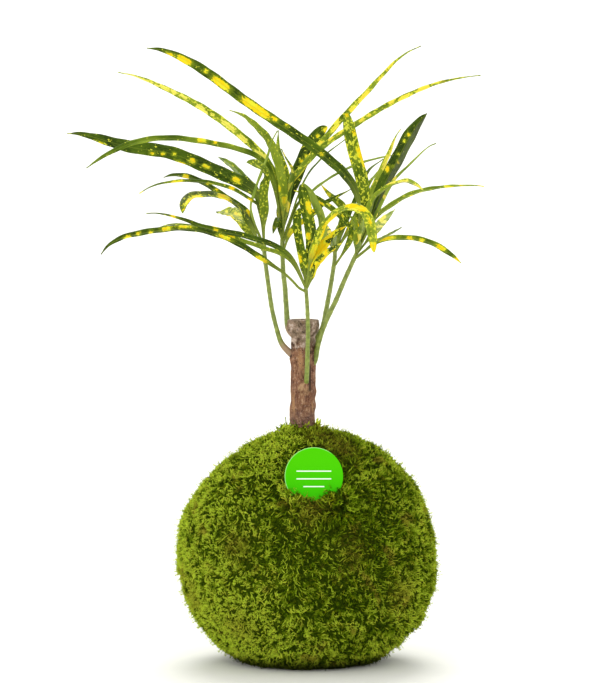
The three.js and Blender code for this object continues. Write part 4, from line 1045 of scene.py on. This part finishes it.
def moss_tree(material):
    """Geometry Nodes: moss twigs over a surface, combed in patches."""
    tree = Tree("moss_twigs", {
        "Bed": "Geometry", "Twigs per area": "Float", "Length": "Float", "Half thickness": "Float",
        "Least raise": "Float", "Most raise": "Float", "Seed": "Int"})
    given = tree.given
    height = tree.first("GeometryNodeInputNamedAttribute", {"Name": "stature"}, data_type="FLOAT")
    covered = tree.maths("GREATER_THAN", height, STAND.least_stature)
    density = tree.times(given["Twigs per area"], covered)
    roots = tree.node("GeometryNodeDistributePointsOnFaces", {
        "Mesh": given["Bed"], "Density": density, "Seed": given["Seed"]}).outputs
    kinds = tree.node("GeometryNodeJoinGeometry")
    for opening in TWIG.branch_angles:
        alone = tree.first("GeometryNodeGeometryToInstance", {"Geometry": twig(tree, opening)})
        tree.join(alone, kinds.inputs[0])
    comb = tree.first("ShaderNodeTexNoise", {"Scale": STAND.comb_scale, "Detail": 1.0})
    heading = tree.add(tree.times(comb, STAND.comb), tree.random(-STAND.turn, STAND.turn))
    raised = tree.times(tree.random(given["Least raise"], given["Most raise"]), -1.0)
    aimed = tree.turned(tree.turned(roots["Rotation"], z=heading), y=raised)
    aimed = tree.turned(aimed, x=tree.random(-STAND.roll, STAND.roll))
    last_kind = len(TWIG.branch_angles) - 1
    pick = tree.node("FunctionNodeRandomValue", {4: 0, 5: last_kind, "Seed": given["Seed"]}, data_type="INT")
    grown = tree.first("GeometryNodeInstanceOnPoints", {
        "Points": roots["Points"], "Instance": kinds.outputs[0], "Pick Instance": True,
        "Instance Index": pick.outputs[2], "Rotation": aimed,
        "Scale": tree.times(tree.random(*STAND.size), height)})
    real = tree.realized(tree.stored(grown, "shade", tree.random(0.0, 1.0), "INSTANCE"))
    place = tree.position()
    above_floor = tree.vector(place["X"], place["Y"], tree.larger(place["Z"], STAND.lowest_z))
    laid = tree.first("GeometryNodeSetPosition", {"Geometry": real, "Position": above_floor})
    done = tree.first("GeometryNodeSetMaterial", {"Geometry": laid, "Material": material})
    tree.node("NodeGroupOutput", {0: done})
    return tree


def grow(name, bed, tree, sizes):
    """One layer of twigs over a bed, as a plain mesh of its own."""
    host = linked(bpy.data.objects.new(name + "_host", bed.data))
    modifier = host.modifiers.new("twigs", "NODES")
    modifier.node_group = tree.tree
    for key, value in sizes.items():
        modifier[tree.inputs[key]] = value
    host.update_tag()
    bpy.context.view_layer.update()
    grown = host.evaluated_get(bpy.context.evaluated_depsgraph_get())
    mesh = bpy.data.meshes.new_from_object(grown)
    mesh.name = name
    bpy.data.objects.remove(host)
    return linked(bpy.data.objects.new(name, mesh))


def moss():
    """The bed with all layers of twigs on it."""
    bed = moss_bed()
    finish_piece(bed, "moss", "moss_cover")
    tree = moss_tree(moss_finish())
    for name, length, half, least, most, per_cm2, seed in TWIGS:
        sizes = {"Twigs per area": per_cm2 * CM2_IN_M2, "Length": length * MM, "Half thickness": half * MM,
                 "Least raise": math.radians(least), "Most raise": math.radians(most), "Seed": seed}
        finish_piece(grow(name, bed, tree, sizes), "moss", "moss_cover")


# ---- the trunk ----
def trunk_radius(z, bearing):
    """The trunk's radius with its ripples and knots, at one height."""
    bark = smooth(TRUNK.moss_z, TRUNK.moss_z + TRUNK.bark_fade, z)
    radius = TRUNK.radius - TRUNK.inset + TRUNK.flare * smooth(*TRUNK.flare_z, z)
    radius = radius + TRUNK.swell * (1 - smooth(*TRUNK.swell_z, z)) * bark
    radius = radius + bark * sum(height * np.sin(count * bearing + climb * z + phase)
                                 for height, count, climb, phase in RIPPLES)
    for height, degrees, rise, spread in KNOTS:
        turn = bearing - math.radians(degrees)
        arc = np.arctan2(np.sin(turn), np.cos(turn)) * TRUNK.radius
        radius = radius + rise * np.exp(-((z - height) ** 2 + arc**2) / spread**2)
    return radius


def around(bearing, turn, height):
    """A place in a field of noise, on a circle of a given radius."""
    return Vector((turn * math.cos(bearing), turn * math.sin(bearing), height))


def bark_radius(z, bearing):
    """The trunk's radius with its fine relief, less its flakes."""
    relief = BARK_RELIEF
    fine = [noise.fractal(around(a, relief.fine_turn, relief.fine_climb * z), *relief.fine_noise)
            for a in bearing]
    flakes = [noise.noise(around(a, relief.flake_turn, relief.flake_climb * z)) for a in bearing]
    lost = np.clip(np.array(flakes) - relief.flake_from, 0, 1)
    return trunk_radius(z, bearing) + relief.fine * np.array(fine) - relief.flake * lost


def trunk():
    """The bark from the moss to the torn rim, and the sawn cut inside the rim."""
    sides, rings, x = TRUNK.sides, TRUNK.rings, TRUNK.x
    bearing = np.linspace(0, 2 * math.pi, sides, endpoint=False)
    top = TRUNK.top_z - CUT.drop
    points = []
    for z in np.linspace(TRUNK.foot_z, top, rings):
        torn = CUT.torn * smooth(TRUNK.top_z - CUT.torn_depth, top, z)
        for r, a in zip(bark_radius(z, bearing), bearing):
            end = z + torn * noise.noise(around(a, CUT.torn_turn, CUT.torn_seed))
            points.append((x + r * math.cos(a), r * math.sin(a), end))
    rim = np.array(points[-sides:])
    middle = np.array((x, 0, TRUNK.top_z))
    for share, depth in CUT.rings:
        for p in middle + (rim - middle) * (share, share, 0):
            saw = noise.noise(Vector((p[0] * CUT.saw_scale, p[1] * CUT.saw_scale, CUT.saw_seed)))
            level = TRUNK.top_z - CUT.level - depth + CUT.saw * saw
            at_rim = max(0.0, (share - CUT.rim_share) / (1 - CUT.rim_share))
            points.append((p[0], p[1], level + (p[2] - level) * at_rim))
    faces = loft_faces(rings + len(CUT.rings), sides)
    finish_piece(mesh_object("trunk_bark", points, faces, bark_finish()), "bark", "trunk")


# ---- shoots and leaves ----
def stem_radius(t, shoot):
    """A stem's radius: woody at its foot and a little swollen at old leaf scars."""
    scar = STEM.scar * math.exp(-(((t * STEM.scars) % 1 - 0.5) / STEM.scar_spread) ** 2)
    scar = scar * (t > STEM.scars_from)
    collar = STEM.collar * shoot.woody * (1 - smooth(0.0, STEM.collar_to, t))
    return shoot.foot + (shoot.head - shoot.foot) * t + scar + collar - STEM.inset


def stem(shoot, material):
    """One green stem, from its socket in the trunk to its head of leaves."""
    path = Path([place(*p) for p in shoot.stem])
    woody, rings, sides = shoot.woody, STEM.rings, STEM.sides
    share = np.linspace(0, 1, rings)
    centre, along = path.at(share), path.way(share)
    front = unit(np.cross(along, (1.0, 0, 0)))
    across = np.cross(front, along)
    points = []
    for i, t in enumerate(share):
        radius = stem_radius(t, shoot) * (STEM.end if i in (0, rings - 1) else 1.0)
        for a in (2 * math.pi * k / sides for k in range(sides)):
            points.append(centre[i] + radius * (across[i] * math.cos(a) + front[i] * math.sin(a)))
    piece = mesh_object(shoot.name.replace("shoot", "stem"), points, loft_faces(rings, sides), material)
    low, high, gap = STEM.green
    green = smooth(woody * low, woody * high + gap, share) if woody else np.ones(rings)
    store(piece, "green", np.repeat(green, sides))
    finish_piece(piece, "leaf", shoot.name)
    return path


def half_width(t, width, tip):
    """Half the blade's width along it: its petiole, its swell, then its tip."""
    share = (t - BLADE.petiole_share) / (1 - BLADE.petiole_share)
    swell = smooth(0, BLADE.widest_from, share)
    start, bow, roundness = TIPS[tip]
    end = np.clip((share - start) / (1 - start), 0, 1)
    taper = np.clip(1 - end**bow, 0, 1) ** roundness
    half = (BLADE.petiole / 2 + (width / 2 - BLADE.petiole / 2) * swell) * taper
    return np.where(share <= 0, BLADE.petiole / 2, np.maximum(BLADE.tip, half))


def blot_depth(path, points, blots):
    """How far each point lies inside the nearest gold blot, in millimetres."""
    steps, look, corner = BLOT.steps, BLOT.look, BLOT.corner
    line, seen = picture(path.at(np.linspace(0, 1, steps))), picture(np.asarray(points))
    depth = np.full(len(seen), -BLOT.reach)
    for across, up, half_length, half_width in blots:
        centre = np.array((across, up))
        nearest = int(np.argmin(np.linalg.norm(line - centre, axis=1)))
        way = unit(line[min(nearest + look, steps - 1)] - line[max(nearest - look, 0)])
        offset = seen - centre
        lengthwise, sideways = np.abs(offset @ way), np.abs(offset @ np.array((-way[1], way[0])))
        reach = (lengthwise / half_length) ** corner + (sideways / half_width) ** corner
        depth = np.maximum(depth, (1 - reach ** (1 / corner)) * min(half_length, half_width))
    return depth


def blade(path, width, facing, tip, draw):
    """A leaf's rings of points, with numbers for the material, its unwrapped places
    and the number of points in a ring: its upper side, then its lower side."""
    rings = int(np.clip(path.length / BLADE.ring_gap, *BLADE.rings))
    t = 1 - (1 - np.linspace(0, 1, rings)) ** BLADE.crowding
    centre, along = path.at(t), path.way(t)
    side = unit(np.cross(along, unit(np.array(facing, float))))
    up = np.cross(side, along)
    half, open_ = half_width(t, width, tip), smooth(*BLADE.opens, t)
    thick = (BLADE.petiole + (BLADE.thickness - BLADE.petiole) * open_) / 2
    thick = np.minimum(thick, np.maximum(half * BLADE.edge, BLADE.thinnest))
    columns = np.linspace(-1, 1, BLADE.columns)
    phase, length = draw.uniform(0, BLADE.wave_phase, 2), draw.uniform(*BLADE.wave_length)
    points, under, across = [], [], []
    for i, (h, b) in enumerate(zip(half, open_)):
        turn = 2 * math.pi * t[i] * path.length / length + np.where(columns < 0, *phase)
        wave = BLADE.wave * width * b * np.sin(turn) * min(1.0, h / (BLADE.wave_full * width))
        lift = BLADE.fold * h * b * np.abs(columns) ** BLADE.fold_power + wave * columns**2
        groove = BLADE.groove * b * np.exp(-((columns * h / BLADE.groove_spread) ** 2))
        crown = thick[i] * np.sqrt(np.clip(1 - np.abs(columns) ** 4, 0, 1))
        upper = [(c, z, 0.0) for c, z in zip(columns, lift + crown - groove)]
        lower = [(c, z, 1.0) for c, z in zip(columns, lift - crown - BLADE.keel * groove)]
        for c, z, low in upper + lower[-2:0:-1]:
            points.append(centre[i] + side[i] * c * h + up[i] * z)
            under.append(low)
            across.append(c * h)
    sides = 2 * len(columns) - 2
    flat = list(zip(across, np.repeat(t * path.length, sides)))
    return points, {"under": under, "blade_part": np.repeat(open_, sides)}, flat, sides


def leaves(shoot, stem_path, material, seed):
    """All leaves of one shoot, as one piece."""
    draw = np.random.default_rng(seed)
    points, faces, flats, values = [], [], [], {}
    for number, leaf in enumerate(shoot.leaves):
        start, width, facing, outline, depths, tip, gold, specks, tone = leaf
        depth = np.interp(np.linspace(0, 1, len(outline)), (0, 0.5, 1), depths)
        course = [stem_path.at(start)] + [place(a, u, d) for (a, u), d in zip(outline, depth)]
        path = Path(course, BLADE.smoothing)
        made, numbers, flat, sides = blade(path, width, facing, tip, draw)
        numbers["blot"] = blot_depth(path, made, shoot.blots.get(number, []))
        sheen = shoot.sheen.get(number, 0.0)
        numbers["sheen"] = [sheen * (across > BLADE.sheen_from) for across, along in flat]
        whole = {"gold": gold, "specks": specks, "tone": tone, "width": width,
                 "seed": draw.uniform(0, 1), "cream": shoot.cream.get(number, 0.0)}
        for key, value in whole.items():
            numbers[key] = [value] * len(made)
        faces += turned_over(loft_faces(len(made) // sides, sides, len(points)))
        points += made
        flats += flat
        for key, value in numbers.items():
            values.setdefault(key, []).extend(value)
    piece = mesh_object(shoot.name.replace("shoot", "leaves"), points, faces, material)
    for key, value in values.items():
        store(piece, key, value)
    unwrap(piece, "blade", flats)
    finish_piece(piece, "leaf", shoot.name)


def shoots():
    stem_material, leaf_material = stem_finish(), leaf_finish()
    for seed, shoot in enumerate(SHOOTS, FIRST_LEAF_SEED):
        leaves(shoot, stem(shoot, stem_material), leaf_material, seed)


# ---- the label ----
def disc_profile():
    """Half the disc's outline, from the middle of its front to the middle of its back."""
    radius, half, rim, dish = LABEL.radius, LABEL.thickness / 2, LABEL.rim, LABEL.dish
    profile = [(radius - LABEL.dish_from, half - dish), (radius - LABEL.dish_to, half), (radius - rim, half)]
    for a in np.linspace(*LABEL.corner):
        profile.append((radius - rim + rim * math.sin(a), half - rim + rim * math.cos(a)))
    profile += [(x, -y) for x, y in reversed(profile[2:])]
    return [(LABEL.hub, half - dish)] + profile + [(LABEL.hub, -half)]


def stake_outline():
    """The stake's outline: it starts on the disc and ends in a point."""
    root, foot = -LABEL.radius, -LABEL.radius - STAKE.length
    right = [(STAKE.width / 2, root * STAKE.root), (STAKE.width / 2, root - STAKE.shoulder),
             (STAKE.tip / 2, foot + STAKE.point)]
    return right + [(0, foot)] + [(-x, y) for x, y in reversed(right)]


def label():
    """The round label and its stake, as one piece."""
    sides, profile, outline = LABEL.sides, disc_profile(), stake_outline()
    turns = [2 * math.pi * k / sides for k in range(sides)]
    points = [(r * math.cos(a), r * math.sin(a), y) for r, y in profile for a in turns]
    faces = turned_over(loft_faces(len(profile), sides))
    faces += turned_over(loft_faces(2, len(outline), len(points)))
    half = LABEL.thickness / 2
    for depth in (STAKE.inset - half, half - STAKE.inset):
        points += [(x, y, depth) for x, y in outline]
    flat = np.array(points)
    centre, across, up, front = (np.array(v) for v in label_frame())
    world = centre + flat[:, :1] * across + flat[:, 1:2] * up + flat[:, 2:] * front
    piece = mesh_object("plant_label", world, faces, label_finish())
    store(piece, "front", (flat[:, 2] > half - LABEL.printed_depth).astype(float))
    unwrap(piece, "face", flat[:, :2])
    finish_piece(piece, "label", "label")


# ---- floor, light and camera ----
def studio():
    bpy.ops.mesh.primitive_plane_add(size=FLOOR_SIZE)
    floor = bpy.context.object
    floor.name = "floor"
    floor.data.materials.append(floor_finish())
    world = bpy.data.worlds.new("studio")
    bpy.context.scene.world = world
    world.use_nodes = True
    background = world.node_tree.nodes["Background"].inputs
    background["Color"].default_value = (1.0, 1.0, 1.0, 1.0)
    background["Strength"].default_value = WORLD_LIGHT
    for name, height, bearing, spread, strength in SUNS:
        light = bpy.data.lights.new(name, "SUN")
        light.angle, light.energy = math.radians(spread), strength
        lamp = linked(bpy.data.objects.new(name, light))
        lamp.rotation_euler = (math.radians(90 - height), 0, math.radians(bearing))


def camera():
    tilt, far = EYE.tilt, EYE.distance * MM
    view = bpy.data.cameras.new("camera")
    view.sensor_width = PICTURE.sensor
    view.lens = PICTURE.sensor * EYE.distance * PICTURE.pixels_per_mm / PICTURE.height
    view.clip_start, view.clip_end = PICTURE.nearest, PICTURE.farthest
    eye = linked(bpy.data.objects.new("camera", view))
    eye.location = (EYE.x * MM, -far * math.cos(tilt), EYE.z * MM + far * math.sin(tilt))
    eye.rotation_euler = (math.pi / 2 - tilt, 0, 0)
    bpy.context.scene.camera = eye
    bpy.context.scene.view_settings.view_transform = "Standard"


camera()
studio()
moss()
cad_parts["soil_ball"].material_slots[0].material = soil_finish()
trunk()
shoots()
label()
